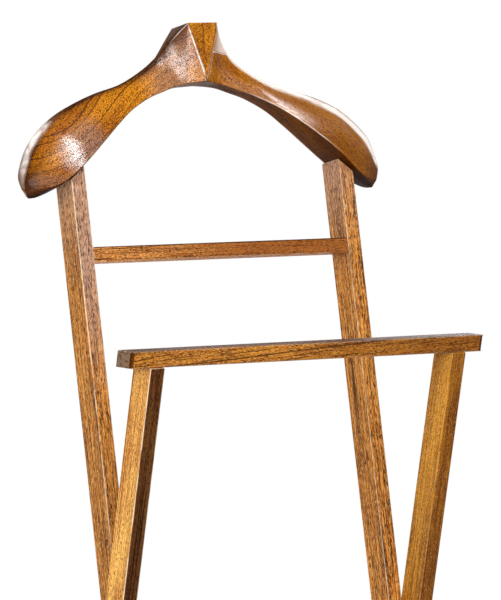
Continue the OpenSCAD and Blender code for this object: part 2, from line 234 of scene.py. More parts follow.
class ShaderGraph:
    """Adds nodes to one material or world and wires them by plain words."""

    def __init__(self, owner: Material | bpy.types.World) -> None:
        """Start with no nodes.

        Args:
            owner: The material or world that the nodes are for.
        """
        owner.use_nodes = True
        self.owner = owner
        self.tree = owner.node_tree
        self.tree.nodes.clear()

    @classmethod
    def of_material(cls, name: str) -> "ShaderGraph":
        """Start the graph of a new material."""
        return cls(bpy.data.materials.new(name))

    def node(self, kind: str, feeds: dict[str | int, Feed], **settings: object) -> bpy.types.Node:
        """Add one node.

        Args:
            kind: The node's type without its ShaderNode prefix.
            feeds: What each input takes, by name or place: a wire or a value.
            settings: The node's own properties.

        Returns:
            The new node.
        """
        made = self.tree.nodes.new("ShaderNode" + kind)
        for key, value in settings.items():
            setattr(made, key, value)
        for key, value in feeds.items():
            if isinstance(value, Wire):
                self.tree.links.new(value.socket, made.inputs[key])
            else:
                made.inputs[key].default_value = value
        return made

    def wire(
        self, kind: str, output: str | int = 0, feeds: dict[str | int, Feed] | None = None,
        **settings: object,
    ) -> Wire:
        """Add one node and take up one of its outputs."""
        return Wire(self, self.node(kind, feeds or {}, **settings).outputs[output])

    def math(self, operation: str, *values: Feed, clamp: bool = False) -> Wire:
        """One arithmetic step on numbers, held between 0 and 1 if clamp says so."""
        return self.wire("Math", 0, dict(enumerate(values)), operation=operation, use_clamp=clamp)

    def vector(self, operation: str, *values: Feed) -> Wire:
        """One step on vectors, whose result is a vector, or a number for LENGTH."""
        output = "Value" if operation == "LENGTH" else "Vector"
        return self.wire("VectorMath", output, dict(enumerate(values)), operation=operation)

    def split(self, at: Feed) -> list[Wire]:
        """The X, Y and Z of a point."""
        return [Wire(self, part) for part in self.node("SeparateXYZ", {0: at}).outputs]

    def stand_point(self) -> Wire:
        """The point in the stand's frame, which is every piece's own frame in Blender."""
        return self.wire("TexCoord", "Object")

    def noise(
        self, at: Feed, scale: float, detail: float = 0.0, rough: float = 0.5, output: str = "Fac",
    ) -> Wire:
        """Smooth noise from 0 to 1 at a point."""
        feeds = {"Vector": at, "Scale": scale, "Detail": detail, "Roughness": rough}
        return self.wire("TexNoise", output, feeds)

    def stretched(self, at: Feed, across: float, along: float, seed: float) -> Wire:
        """Scale a point so that one unit is `across` in X and Y and `along` in Z.

        Args:
            at: The point.
            across: Size of a feature across the grain.
            along: Size of a feature along the grain.
            seed: Shift that gives this use its own noise.

        Returns:
            The scaled and shifted point.
        """
        scaled = self.vector("MULTIPLY", at, (1 / across, 1 / across, 1 / along))
        return self.vector("ADD", scaled, (seed, 1.7 * seed, 2.3 * seed))

    def ramp(
        self, value: Feed, low: float, high: float, to_low: float = 0.0, to_high: float = 1.0,
    ) -> Wire:
        """Map a number from low..high to to_low..to_high with a soft start and end."""
        feeds = {"Value": value, "From Min": low, "From Max": high, "To Min": to_low, "To Max": to_high}
        return self.wire("MapRange", "Result", feeds, interpolation_type="SMOOTHSTEP")

    def line(self, off: Wire, solid: float, gone: float, depth: float) -> Wire:
        """A thin line: depth where off is within solid of 0, and nothing from gone on."""
        return self.ramp(abs(off), solid, gone, depth, 0.0)

    def blend(self, share: Feed, base: Feed, over: Feed, kind: str = "MIX") -> Wire:
        """Lay a share of one colour over another, in the way that kind names."""
        return self.wire("Mix", 2, {0: share, 6: base, 7: over}, data_type="RGBA", blend_type=kind)

    def seen_from(self, at: Feed, place: Matrix) -> Wire:
        """Give a point of the stand's frame as seen from a local frame."""
        feeds = {"Vector": at, "Location": place.translation, "Rotation": place.to_euler()}
        return self.wire("Mapping", 0, feeds, vector_type="TEXTURE")

    def attribute(self, name: str) -> Wire:
        """A number that the mesh carries under this name."""
        return self.wire("Attribute", "Fac", attribute_name=name)

    def bump(self, height: Feed, depth: float, strength: float) -> Wire:
        """Turn a height from 0 to 1 into a relief that is depth metres deep."""
        return self.wire("Bump", "Normal", {"Height": height, "Distance": depth, "Strength": strength})

    def surface(self, feeds: dict[str, Feed]) -> Material:
        """Close the graph with the surface shader and give the material back."""
        self.node("OutputMaterial", {"Surface": self.wire("BsdfPrincipled", 0, feeds)})
        return self.owner


# ---------------------------------------------------------------- finishes


ARRIS = "arris"
TONE = "tone"
DRIFT = "drift"
GLOSS = "gloss"


@dataclass(frozen=True)
class GrainAxis:
    """The pith of the tree that a piece was sawn from, in the piece's own frame."""

    point: Triple
    direction: Triple = (0.0, 0.0, 1.0)

    def matrix(self) -> Matrix:
        """The tree's frame, whose Z is the pith, in the piece's own frame."""
        turn = Vector((0, 0, 1)).rotation_difference(Vector(self.direction))
        return Matrix.Translation(self.point) @ turn.to_matrix().to_4x4()


@dataclass(frozen=True)
class GrainNoise:
    """One use of noise in the wood: its features' size, its own shift, and the band that counts."""

    across: float
    along: float
    shift: float
    detail: float = 0.0
    rough: float = 0.5
    band: Pair = (0.0, 1.0)


FIBRES = GrainNoise(0.5 * MM, 30 * MM, 3, 1.0)
STREAKS = GrainNoise(1.2 * MM, 34 * MM, 17, 2.0)
EDGE_BREAKS = GrainNoise(6 * MM, 25 * MM, 23, 2.0, band=(0.34, 0.56))
SHEEN = GrainNoise(9 * MM, 40 * MM, 31, 2.0, band=(0.3, 0.7))
LACQUER = GrainNoise(1.2 * MM, 2.6 * MM, 71, 1.0, band=(0.4, 0.58))


class Mark(Protocol):
    """Something that is painted over the stained wood."""

    def paint(self, shader: "WoodShader", colour: Wire) -> Wire:
        """Lay the mark over a colour and give the colour back."""


@dataclass(frozen=True)
class ShadeAndSheenDrift:
    """A colour laid along a piece, paler or deeper: painted sheen where it pales, painted shade where it
    deepens.

    It starts and is full at these places along the piece's Z, and sooner by its lead on a face
    that the mesh marks with a drift of 1. A drift of 0 keeps a face as it is.
    """

    start: float
    full: float
    # The pinkish pale of a painted sheen
    colour: Colour = srgb(206, 172, 150)
    share: float = 0.6
    lead: float = 110 * MM
    onset: float = 12.0
    fleck_band: Pair = (0.44, 0.6)
    fleck_share: float = 0.45
    pore_share: float = 0.85

    def paint(self, shader: "WoodShader", colour: Wire) -> Wire:
        """Lay the drift's painted sheen and shade over a colour, on the faces whose drift mark says so.

        Args:
            shader: The wood's shader.
            colour: The colour below.

        Returns:
            The colour's wire.
        """
        graph = shader.graph
        marked = graph.attribute(DRIFT)
        up = graph.split(shader.own)[2]
        reach = graph.ramp(up + marked * self.lead, self.start, self.full, 0.0, self.share)
        laid_share = graph.math("MULTIPLY", marked, self.onset, clamp=True)
        flecks = graph.ramp(shader.glints, *self.fleck_band, self.fleck_share, 0.0)
        drifted = graph.blend(flecks, self.colour, shader.wood.deep)
        drifted = graph.blend(shader.pores * self.pore_share, drifted, shader.wood.pore)
        return graph.blend(reach * laid_share, colour, drifted)


@dataclass(frozen=True)
class GlueLine:
    """The wavering dark joint where two halves of a piece were glued, at X = 0."""

    waver: float = 9 * MM
    shift: float = 51
    solid: float = 0.2 * MM
    gone: float = 0.8 * MM
    depth: float = 0.8

    def paint(self, shader: "WoodShader", colour: Wire) -> Wire:
        """Lay the joint over a colour.

        Args:
            shader: The wood's shader.
            colour: The colour below.

        Returns:
            The colour's wire.
        """
        graph = shader.graph
        seed = shader.wood.seed + self.shift
        waver = graph.noise(graph.stretched(shader.own, self.waver, self.waver, seed), 1.0, 2.0)
        off = graph.split(shader.own)[0] + (waver - 0.5) * self.waver
        return graph.blend(graph.line(off, self.solid, self.gone, self.depth), colour, shader.wood.line)


@dataclass(frozen=True)
class FacetLineAndHighlight:
    """A dark line along the right edge of the peak's facet, and a pale painted highlight above its
    shoulder.
    """

    foot_x: float = 3 * MM
    head_x: float = 17.5 * MM
    head_z: float = 61 * MM
    front_y: float = -3 * MM
    edge_solid: float = 0.4 * MM
    edge_gone: float = 1.1 * MM
    edge_depth: float = 0.8
    patch_foot: float = 31 * MM
    patch_rise: float = 2 * MM
    patch_wide: float = 10 * MM
    patch_end: Pair = (42 * MM, 52 * MM)
    patch_shares: Pair = (0.05, 0.95)
    lip_solid: float = 0.3 * MM
    lip_gone: float = 0.9 * MM
    lip_depth: float = 0.7
    highlight_colour: Colour = srgb(236, 214, 200)

    def paint(self, shader: "WoodShader", colour: Wire) -> Wire:
        """Lay the painted highlight and then the dark edge line over a colour.

        Args:
            shader: The wood's shader.
            colour: The colour below.

        Returns:
            The colour's wire.
        """
        graph = shader.graph
        x, y, z = graph.split(shader.own)
        lean = (self.head_x - self.foot_x) / self.head_z
        off = x - (z * lean + self.foot_x)
        front = graph.math("LESS_THAN", y, self.front_y)
        right = graph.math("GREATER_THAN", off, 0.0)
        near = graph.ramp(x, *self.patch_end, 1.0, 0.0)
        above = graph.ramp(z, self.patch_foot, self.patch_foot + self.patch_rise)
        patch = graph.ramp(off, 0.0, self.patch_wide, *self.patch_shares) * above * right * near
        lip = graph.line(z - self.patch_foot, self.lip_solid, self.lip_gone, self.lip_depth) * right * near
        patch = graph.math("MAXIMUM", patch, lip) * front
        edge = graph.line(off, self.edge_solid, self.edge_gone, self.edge_depth) * front
        return graph.blend(edge, graph.blend(patch, colour, self.highlight_colour), shader.wood.line)


@dataclass(frozen=True)
class Knot:
    """A small round knot in a face, with a dark ring and a paler heart."""

    centre: Triple
    radius: float = 2.7 * MM
    heart: Pair = (0.35, 0.55)
    rim: float = 1.25
    depth: float = 0.85

    def paint(self, shader: "WoodShader", colour: Wire) -> Wire:
        """Lay the knot over a colour.

        Args:
            shader: The wood's shader.
            colour: The colour below.

        Returns:
            The colour's wire.
        """
        graph = shader.graph
        away = graph.vector("LENGTH", graph.vector("SUBTRACT", shader.own, self.centre))
        heart = graph.ramp(away, self.heart[0] * self.radius, self.heart[1] * self.radius)
        rim = graph.ramp(away, self.radius, self.rim * self.radius, 1.0, 0.0)
        return graph.blend(heart * rim * self.depth, colour, shader.wood.line)


@dataclass(frozen=True)
class WoodFinish:
    """Stained, open-pored hardwood under lacquer, from growth rings down to pores.

    Widths, lengths and sizes are in metres, and shares and depths run from 0 to 1. ring_line,
    dark_green and dark_blue are powers. Each of the years is a hard, dark ring: its radius in
    millimetres and its depth.
    """

    name: str
    grain: GrainAxis
    right_grain: GrainAxis | None = None
    pale: Colour = srgb(236, 156, 66)
    deep: Colour = srgb(130, 64, 12)
    line: Colour = srgb(58, 26, 8)
    pore: Colour = srgb(56, 24, 8)
    fleck: Colour = srgb(240, 184, 110)
    # worn: the pale colour of rubbed arrises, which also paints their highlights and the hanger's rims
    worn: Colour = srgb(244, 222, 190)
    seed: float = 0.0
    ring_width: float = 5.0 * MM
    ring_line: float = 9.0
    ring_depth: float = 0.6
    ring_band: Pair = (0.25, 0.9)
    ring_least: float = 0.15
    unrest: float = 1.6
    unrest_scale: float = 0.45
    years: Stops = ()
    year_width: float = 0.4 * MM
    year_core: float = 0.2
    wobble: float = 2.0 * MM
    wobble_size: float = 45 * MM
    wobble_long: float = 4.0
    pore_width: float = 0.65 * MM
    pore_length: float = 3.8 * MM
    pore_share: float = 0.56
    pore_edge: float = 0.08
    pore_depth: float = 0.85
    early_pores: float = 0.22
    fleck_long: float = 0.8
    fleck_depth: float = 0.75
    fleck_band: Pair = (0.54, 0.62)
    streak: float = 0.5
    stain_band: Pair = (0.36, 0.64)
    mottle_size: float = 22 * MM
    mottle_long: float = 5.0
    streak_line: float = 0.75
    streak_width: float = 1.5 * MM
    streak_length: float = 260 * MM
    # wear_and_highlight: how strongly that pale colour is laid on, as wear and painted highlight
    wear_and_highlight: float = 0.8
    edge_break_least: float = 0.2
    rough: float = 0.36
    rough_range: float = 0.06
    pore_rough: float = 0.2
    shine: float = 0.035
    coat: float = 0.12
    coat_rough: float = 0.16
    coat_ior: float = 1.5
    coat_in_pores: float = 0.25
    patchy: float = 0.25
    relief: float = 0.2 * MM
    relief_strength: float = 0.7
    fibre_height: float = 0.25
    dark_green: float = 1.15
    dark_blue: float = 1.12
    marks: tuple[Mark, ...] = ()

    def material(self, place: Matrix) -> Material:
        """Build the wood's material for a piece whose own frame is at this place."""
        return WoodShader(self, place).material()


class WoodShader:
    """The nodes of one wood finish on one piece."""

    def __init__(self, wood: WoodFinish, place: Matrix) -> None:
        """Find the point in the piece's frame and in the tree's frame.

        Args:
            wood: The finish.
            place: The piece's own frame in the stand's frame.
        """
        self.wood = wood
        self.graph = ShaderGraph.of_material(wood.name)
        stand = self.graph.stand_point()
        self.own = self.graph.seen_from(stand, place)
        self.at = self.graph.seen_from(stand, place @ wood.grain.matrix())
        self.on_right: Feed = 0.0
        if wood.right_grain:
            self.on_right = self.graph.math("GREATER_THAN", self.graph.split(stand)[0], 0.0)
            over = self.graph.seen_from(stand, place @ wood.right_grain.matrix())
            halves = {0: self.on_right, 4: self.at, 5: over}
            self.at = self.graph.wire("Mix", 1, halves, data_type="VECTOR")
        self.ring, self.ring_line = self._rings()
        early = abs(self.ring - 0.5) ** 2.0
        dashes = self._noise(GrainNoise(wood.pore_width, wood.pore_length, 7, 1.0, 0.6))
        self.pores = self.graph.ramp(
            dashes + early * wood.early_pores, wood.pore_share, wood.pore_share + wood.pore_edge)
        self.glints = self._noise(GrainNoise(wood.pore_width, wood.fleck_long * wood.pore_length, 41, 1.0))

    def material(self) -> Material:
        """Wire up colour, roughness, relief and lacquer.

        Returns:
            The material, which reads the mesh's arris, tone and gloss, and its drift for a
            ShadeAndSheenDrift.
        """
        wood, graph = self.wood, self.graph
        sheen = self._banded(SHEEN, wood.rough - wood.rough_range, wood.rough + wood.rough_range)
        height = self._noise(FIBRES) * wood.fibre_height - self.pores
        relief = graph.bump(height, wood.relief, wood.relief_strength)
        filled = graph.ramp(self.pores, 0.0, 1.0, 1.0, wood.coat_in_pores)
        skin = self._banded(LACQUER, 1 - wood.patchy, 1.0) * filled
        return graph.surface({
            "Base Color": self._worn_and_highlit(self._toned(self._stained())),
            "Roughness": self.pores * wood.pore_rough + sheen,
            "Normal": relief,
            "Coat Normal": relief,
            "Specular IOR Level": wood.shine,
            "Coat Weight": graph.attribute(GLOSS) * skin * wood.coat,
            "Coat Roughness": wood.coat_rough,
            "Coat IOR": wood.coat_ior,
        })

    def _noise(self, use: GrainNoise) -> Wire:
        """Noise along the grain."""
        point = self.graph.stretched(self.at, use.across, use.along, self.wood.seed + use.shift)
        return self.graph.noise(point, 1.0, use.detail, use.rough)

    def _banded(self, use: GrainNoise, to_low: float, to_high: float) -> Wire:
        """Noise along the grain, mapped from its band to another."""
        return self.graph.ramp(self._noise(use), *use.band, to_low, to_high)

    def _rings(self) -> tuple[Wire, Wire]:
        """Growth rings as wavering shells round the pith, with hard years among them on the left.

        Returns:
            How far through its ring the point is, and how dark the ring's line is there.
        """
        wood, graph = self.wood, self.graph
        slow = graph.stretched(self.at, wood.wobble_size, wood.wobble_long * wood.wobble_size, wood.seed)
        push = graph.vector("SUBTRACT", graph.noise(slow, 1.0, 2.0, output="Color"), (0.5, 0.5, 0.5))
        push = graph.vector("MULTIPLY", push, (2 * wood.wobble,) * 3)
        flat = graph.vector("MULTIPLY", graph.vector("ADD", self.at, push), (1.0, 1.0, 0.0))
        away = graph.vector("LENGTH", flat)
        count = graph.math("DIVIDE", away, wood.ring_width)
        unrest = graph.noise(graph.wire("CombineXYZ", 0, {0: count, 1: wood.seed}), wood.unrest_scale)
        count = count + unrest * wood.unrest
        ring = graph.math("FRACT", count)
        which = {"W": graph.math("FLOOR", count) + wood.seed}
        chance = graph.wire("TexWhiteNoise", "Value", which, noise_dimensions="1D")
        strong = graph.ramp(chance, *wood.ring_band, wood.ring_least, 1.0)
        dark = ring ** wood.ring_line * strong * wood.ring_depth
        for radius, depth in wood.years:
            core = wood.year_core * wood.year_width
            year = graph.line(away - radius * MM, core, wood.year_width, depth)
            dark = graph.math("MAXIMUM", dark, year * (1.0 - self.on_right))
        return ring, dark

    def _stained(self) -> Wire:
        """The stain with mottle, streaks, flecks, ring lines and pores, under the finish's marks.

        Returns:
            The colour's wire.
        """
        wood, graph = self.wood, self.graph
        mottle = self._noise(GrainNoise(wood.mottle_size, wood.mottle_long * wood.mottle_size, 11, 2.0))
        depth = self._noise(STREAKS) * wood.streak + mottle * (1 - wood.streak)
        colour = graph.blend(graph.ramp(depth, *wood.stain_band), wood.pale, wood.deep)
        flecks = graph.ramp(self.glints, *wood.fleck_band, 0.0, wood.fleck_depth)
        colour = graph.blend(flecks, colour, wood.fleck)
        colour = graph.blend(self.ring_line, colour, wood.line)
        if wood.streak_line:
            strings = GrainNoise(wood.streak_width, wood.streak_length, 61, band=(0.64, 0.7))
            colour = graph.blend(self._banded(strings, 0.0, wood.streak_line), colour, wood.line)
        colour = graph.blend(self.pores * wood.pore_depth, colour, wood.pore)
        for mark in wood.marks:
            colour = mark.paint(self, colour)
        return colour

    def _toned(self, colour: Wire) -> Wire:
        """Darken a colour by the mesh's tone of stain and painted light and shade, the green and the blue
        more than the red.

        Args:
            colour: The colour below.

        Returns:
            The colour's wire.
        """
        tone = self.graph.attribute(TONE)
        powers = {0: tone, 1: tone ** self.wood.dark_green, 2: tone ** self.wood.dark_blue}
        return self.graph.blend(1.0, colour, self.graph.wire("CombineColor", 0, powers), "MULTIPLY")

    def _worn_and_highlit(self, colour: Wire) -> Wire:
        """Lay the pale colour on the arrises and rims that the mesh marks: rubbed lacquer and painted
        highlights.

        Args:
            colour: The colour below.

        Returns:
            The colour's wire.
        """
        edge = self.graph.attribute(ARRIS) * self._banded(EDGE_BREAKS, self.wood.edge_break_least, 1.0)
        laid_share = self.graph.math("MULTIPLY", edge, self.wood.wear_and_highlight, clamp=True)
        return self.graph.blend(laid_share, colour, self.wood.worn)


@dataclass(frozen=True)
class MetalFinish:
    """Aged brass: darker in blotches, brighter where it is handled, with fine turning marks."""

    name: str
    bright: Colour
    dull: Colour
    rough: float = 0.3
    dull_rough: float = 0.22
    blotch_scale: float = 260.0
    mark_scale: float = 1900.0
    mark_share: float = 0.2
    mark_deep: float = 0.02 * MM
    age_band: Pair = (0.38, 0.62)

    def material(self) -> Material:
        """Build the metal's shader.

        Returns:
            The material.
        """
        graph = ShaderGraph.of_material(self.name)
        own = graph.stand_point()
        blotches = graph.noise(own, self.blotch_scale, 3.0, 0.6)
        marks = graph.noise(own, self.mark_scale, 1.0)
        age = graph.ramp(blotches * (1 - self.mark_share) + marks * self.mark_share, *self.age_band)
        return graph.surface({
            "Base Color": graph.blend(age, self.bright, self.dull),
            "Metallic": 1.0,
            "Roughness": graph.ramp(age, 0.0, 1.0, self.rough, self.rough + self.dull_rough),
            "Normal": graph.bump(marks, self.mark_deep, 0.3),
        })


@dataclass(frozen=True)
class MouldedFinish:
    """Moulded plastic or pressed fibre with a fine matt skin and faint clouding."""

    name: str
    light: Colour
    dark: Colour
    grain_size: float
    rough: float
    rough_range: float = 0.08
    cloud_scale: float = 120.0
    skin_share: float = 0.4
    skin_deep: float = 0.05 * MM

    def material(self) -> Material:
        """Build the skin's shader.

        Returns:
            The material.
        """
        graph = ShaderGraph.of_material(self.name)
        own = graph.stand_point()
        skin = graph.noise(own, 1 / self.grain_size, 1.0)
        cloud = graph.noise(own, self.cloud_scale, 2.0) + skin * self.skin_share
        low, high = self.rough - self.rough_range, self.rough + self.rough_range
        return graph.surface({
            "Base Color": graph.blend(graph.ramp(cloud, 0.4, 1.0), self.dark, self.light),
            "Roughness": graph.ramp(skin, 0.3, 0.7, low, high),
            "Normal": graph.bump(skin, self.skin_deep, 0.4),
        })


# ---------------------------------------------------------------- mesh tools


WELD = 2e-6


def linked(name: str, mesh: Mesh) -> Piece:
    """Put a mesh into the scene, with its place in its points.

    Args:
        name: The piece's name.
        mesh: Its mesh.

    Returns:
        The piece.
    """
    piece = bpy.data.objects.new(name, mesh)
    bpy.context.scene.collection.objects.link(piece)
    return piece


def shape_of(mesh: Mesh) -> BMesh:
    """Open a mesh for editing.

    Args:
        mesh: The mesh, which stays as it is.

    Returns:
        A shape with the mesh's points and faces.
    """
    shape = bmesh.new()
    shape.from_mesh(mesh)
    return shape


def to_mesh(shape: BMesh, name: str) -> Mesh:
    """Turn a shape into a mesh and free it.

    Args:
        shape: The shape, which is used up.
        name: The mesh's name.

    Returns:
        The mesh.
    """
    mesh = bpy.data.meshes.new(name)
    shape.to_mesh(mesh)
    shape.free()
    return mesh


def weld(shape: BMesh, gap: float = WELD) -> None:
    """Join the points of a shape that lie within a gap of each other."""
    bmesh.ops.remove_doubles(shape, verts=shape.verts, dist=gap)


def around(count: int) -> list[tuple[int, int]]:
    """Each number below count with the one that follows it round a ring."""
    return [(k, (k + 1) % count) for k in range(count)]


def bake_modifiers(piece: Piece) -> None:
    """Apply every modifier of a piece to its mesh.

    Args:
        piece: The piece.
    """
    bpy.context.view_layer.update()
    shaped = piece.evaluated_get(bpy.context.evaluated_depsgraph_get())
    mesh = bpy.data.meshes.new_from_object(shaped)
    piece.modifiers.clear()
    piece.data = mesh


def cut_away(piece: Piece, tool: Piece) -> None:
    """Cut one closed solid out of a piece and drop the tool.

    Args:
        piece: The piece.
        tool: The solid.
    """
    cutter = piece.modifiers.new("cut", "BOOLEAN")
    cutter.operation = "DIFFERENCE"
    cutter.solver = "EXACT"
    cutter.object = tool
    bake_modifiers(piece)
    bpy.data.objects.remove(tool)


def shade_smooth(mesh: Mesh, crease_deg: float = 35.0) -> None:
    """Shade a mesh smooth and keep its sharp edges crisp.

    Args:
        mesh: The mesh.
        crease_deg: From which angle on an edge is sharp.
    """
    shape = shape_of(mesh)
    for face in shape.faces:
        face.smooth = True
    for edge in shape.edges:
        edge.smooth = edge.is_manifold and edge.calc_face_angle(math.pi) < math.radians(crease_deg)
    shape.to_mesh(mesh)
    shape.free()


def number(mesh: Mesh, name: str, values: Iterable[float], each: str = "POINT") -> None:
    """Give each point or face of a mesh a number under a name.

    Args:
        mesh: The mesh.
        name: The name.
        values: The numbers, in the mesh's order.
        each: POINT or FACE.
    """
    layer = mesh.attributes.get(name) or mesh.attributes.new(name, "FLOAT", each)
    layer.data.foreach_set("value", list(values))


def lathe(
    profile: Sequence[Pair],
    steps: int = 48,
    trim: Callable[[float, float], float] | None = None,
) -> BMesh:
    """Turn a half profile about local Z.

    Args:
        profile: Radius and height of each point in order. A radius of 0 closes it, and so does
            coming back to the start.
        steps: How many steps a turn has.
        trim: The most that the radius may be at an angle and a height, if the piece isn't round.

    Returns:
        The turned shape.
    """
    shape = bmesh.new()
    rings: list[list[bmesh.types.BMVert]] = []
    for radius, height in profile:
        ring = []
        for k in range(steps if radius > 0 else 1):
            turn = math.tau * k / steps
            reach = min(radius, trim(turn, height)) if trim else radius
            ring.append(shape.verts.new((reach * math.cos(turn), reach * math.sin(turn), height)))
        rings.append(ring)
    for low, high in zip(rings, rings[1:]):
        for k in range(steps):
            i, j = k, k + 1
            ring = [low[i % len(low)], low[j % len(low)], high[j % len(high)], high[i % len(high)]]
            shape.faces.new(list(dict.fromkeys(ring)))
    weld(shape, 1e-6)
    bmesh.ops.recalc_face_normals(shape, faces=shape.faces)
    return shape


def arc(radius: float, base: float, rise: float, steps: int = 8) -> list[Pair]:
    """Half profile of a dome, from its middle at base to its rim, which is rise further on."""
    turns = [math.pi / 2 * k / steps for k in range(steps + 1)]
    return [(radius * math.sin(turn), base + rise * (1 - math.cos(turn))) for turn in turns]


def cut_slots(shape: BMesh, slots: Sequence[tuple[Vector, Vector]]) -> BMesh:
    """Cut square slots out of a shape.

    Args:
        shape: The closed shape, which is used up.
        slots: The low and the high corner of each slot.

    Returns:
        The cut shape.
    """
    piece = linked("slotted", to_mesh(shape, "slotted"))
    for low, high in slots:
        block = bmesh.new()
        bmesh.ops.create_cube(block, size=1.0)
        for vert in block.verts:
            vert.co = Vector(a + (c + 0.5) * (b - a) for a, b, c in zip(low, high, vert.co))
        cut_away(piece, linked("slot_cutter", to_mesh(block, "slot_cutter")))
    cut = shape_of(piece.data)
    bpy.data.objects.remove(piece)
    return cut


def solids_of(node: str, place: Matrix) -> list[tuple[Vector, Vector]]:
    """Find the box of each separate solid of a node.

    Args:
        node: The node.
        place: The local frame that the boxes are given in.

    Returns:
        The low and the high corner of each, in order of place.
    """
    shape = shape_of(frame["nodes"][node].data)
    shape.transform(place.inverted())
    weld(shape)
    left = set(shape.verts)
    boxes = []
    for first in shape.verts:
        if first not in left:
            continue
        group, wait = [], [first]
        left.discard(first)
        while wait:
            vert = wait.pop()
            group.append(vert.co.copy())
            fresh = [other for edge in vert.link_edges if (other := edge.other_vert(vert)) in left]
            left.difference_update(fresh)
            wait += fresh
        boxes.append((Vector(map(min, zip(*group))), Vector(map(max, zip(*group)))))
    shape.free()
    return sorted(boxes, key=lambda box: tuple(round(c, 5) for c in box[0]))


def dress(
    piece: Piece, material: Material, body: Body, slot: Slot, node: str,
) -> Piece:
    """Give a finished piece its material and its body, and hide the node that it stands for.

    Args:
        piece: The piece, in place.
        material: Its finish.
        body: The body that it moves with.
        slot: The record's material slot; not used.
        node: The node that it replaces.

    Returns:
        The piece.
    """
    piece.data.materials.clear()
    piece.data.materials.append(material)
    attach(piece, body.value)
    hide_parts(node)
    LOG.info("%s: %d faces, on %s", piece.name, len(piece.data.polygons), body.value)
    return piece


# ---------------------------------------------------------------- timbers


@dataclass(frozen=True)
class Tones:
    """How much lighter or darker each face is than its wood, by the way it faces: painted light and shade."""

    front: float = 1.0
    back: float = 1.0
    left: float = 1.0
    right: float = 1.0
    top: float = 1.0
    under: float = 1.0

    def of(self, normal: Vector) -> float:
        """Find the tone of a face.

        Args:
            normal: The way that the face looks, in the stand's frame.

        Returns:
            Its tone, shared among the sides that it looks to.
        """
        x, y, z = normal
        pulls = {"right": x, "left": -x, "back": y, "front": -y, "top": z, "under": -z}
        weights = {side: max(pull, 0.0) ** 2 for side, pull in pulls.items()}
        toned = sum(getattr(self, side) * weight for side, weight in weights.items())
        return toned / max(sum(weights.values()), 1e-9)


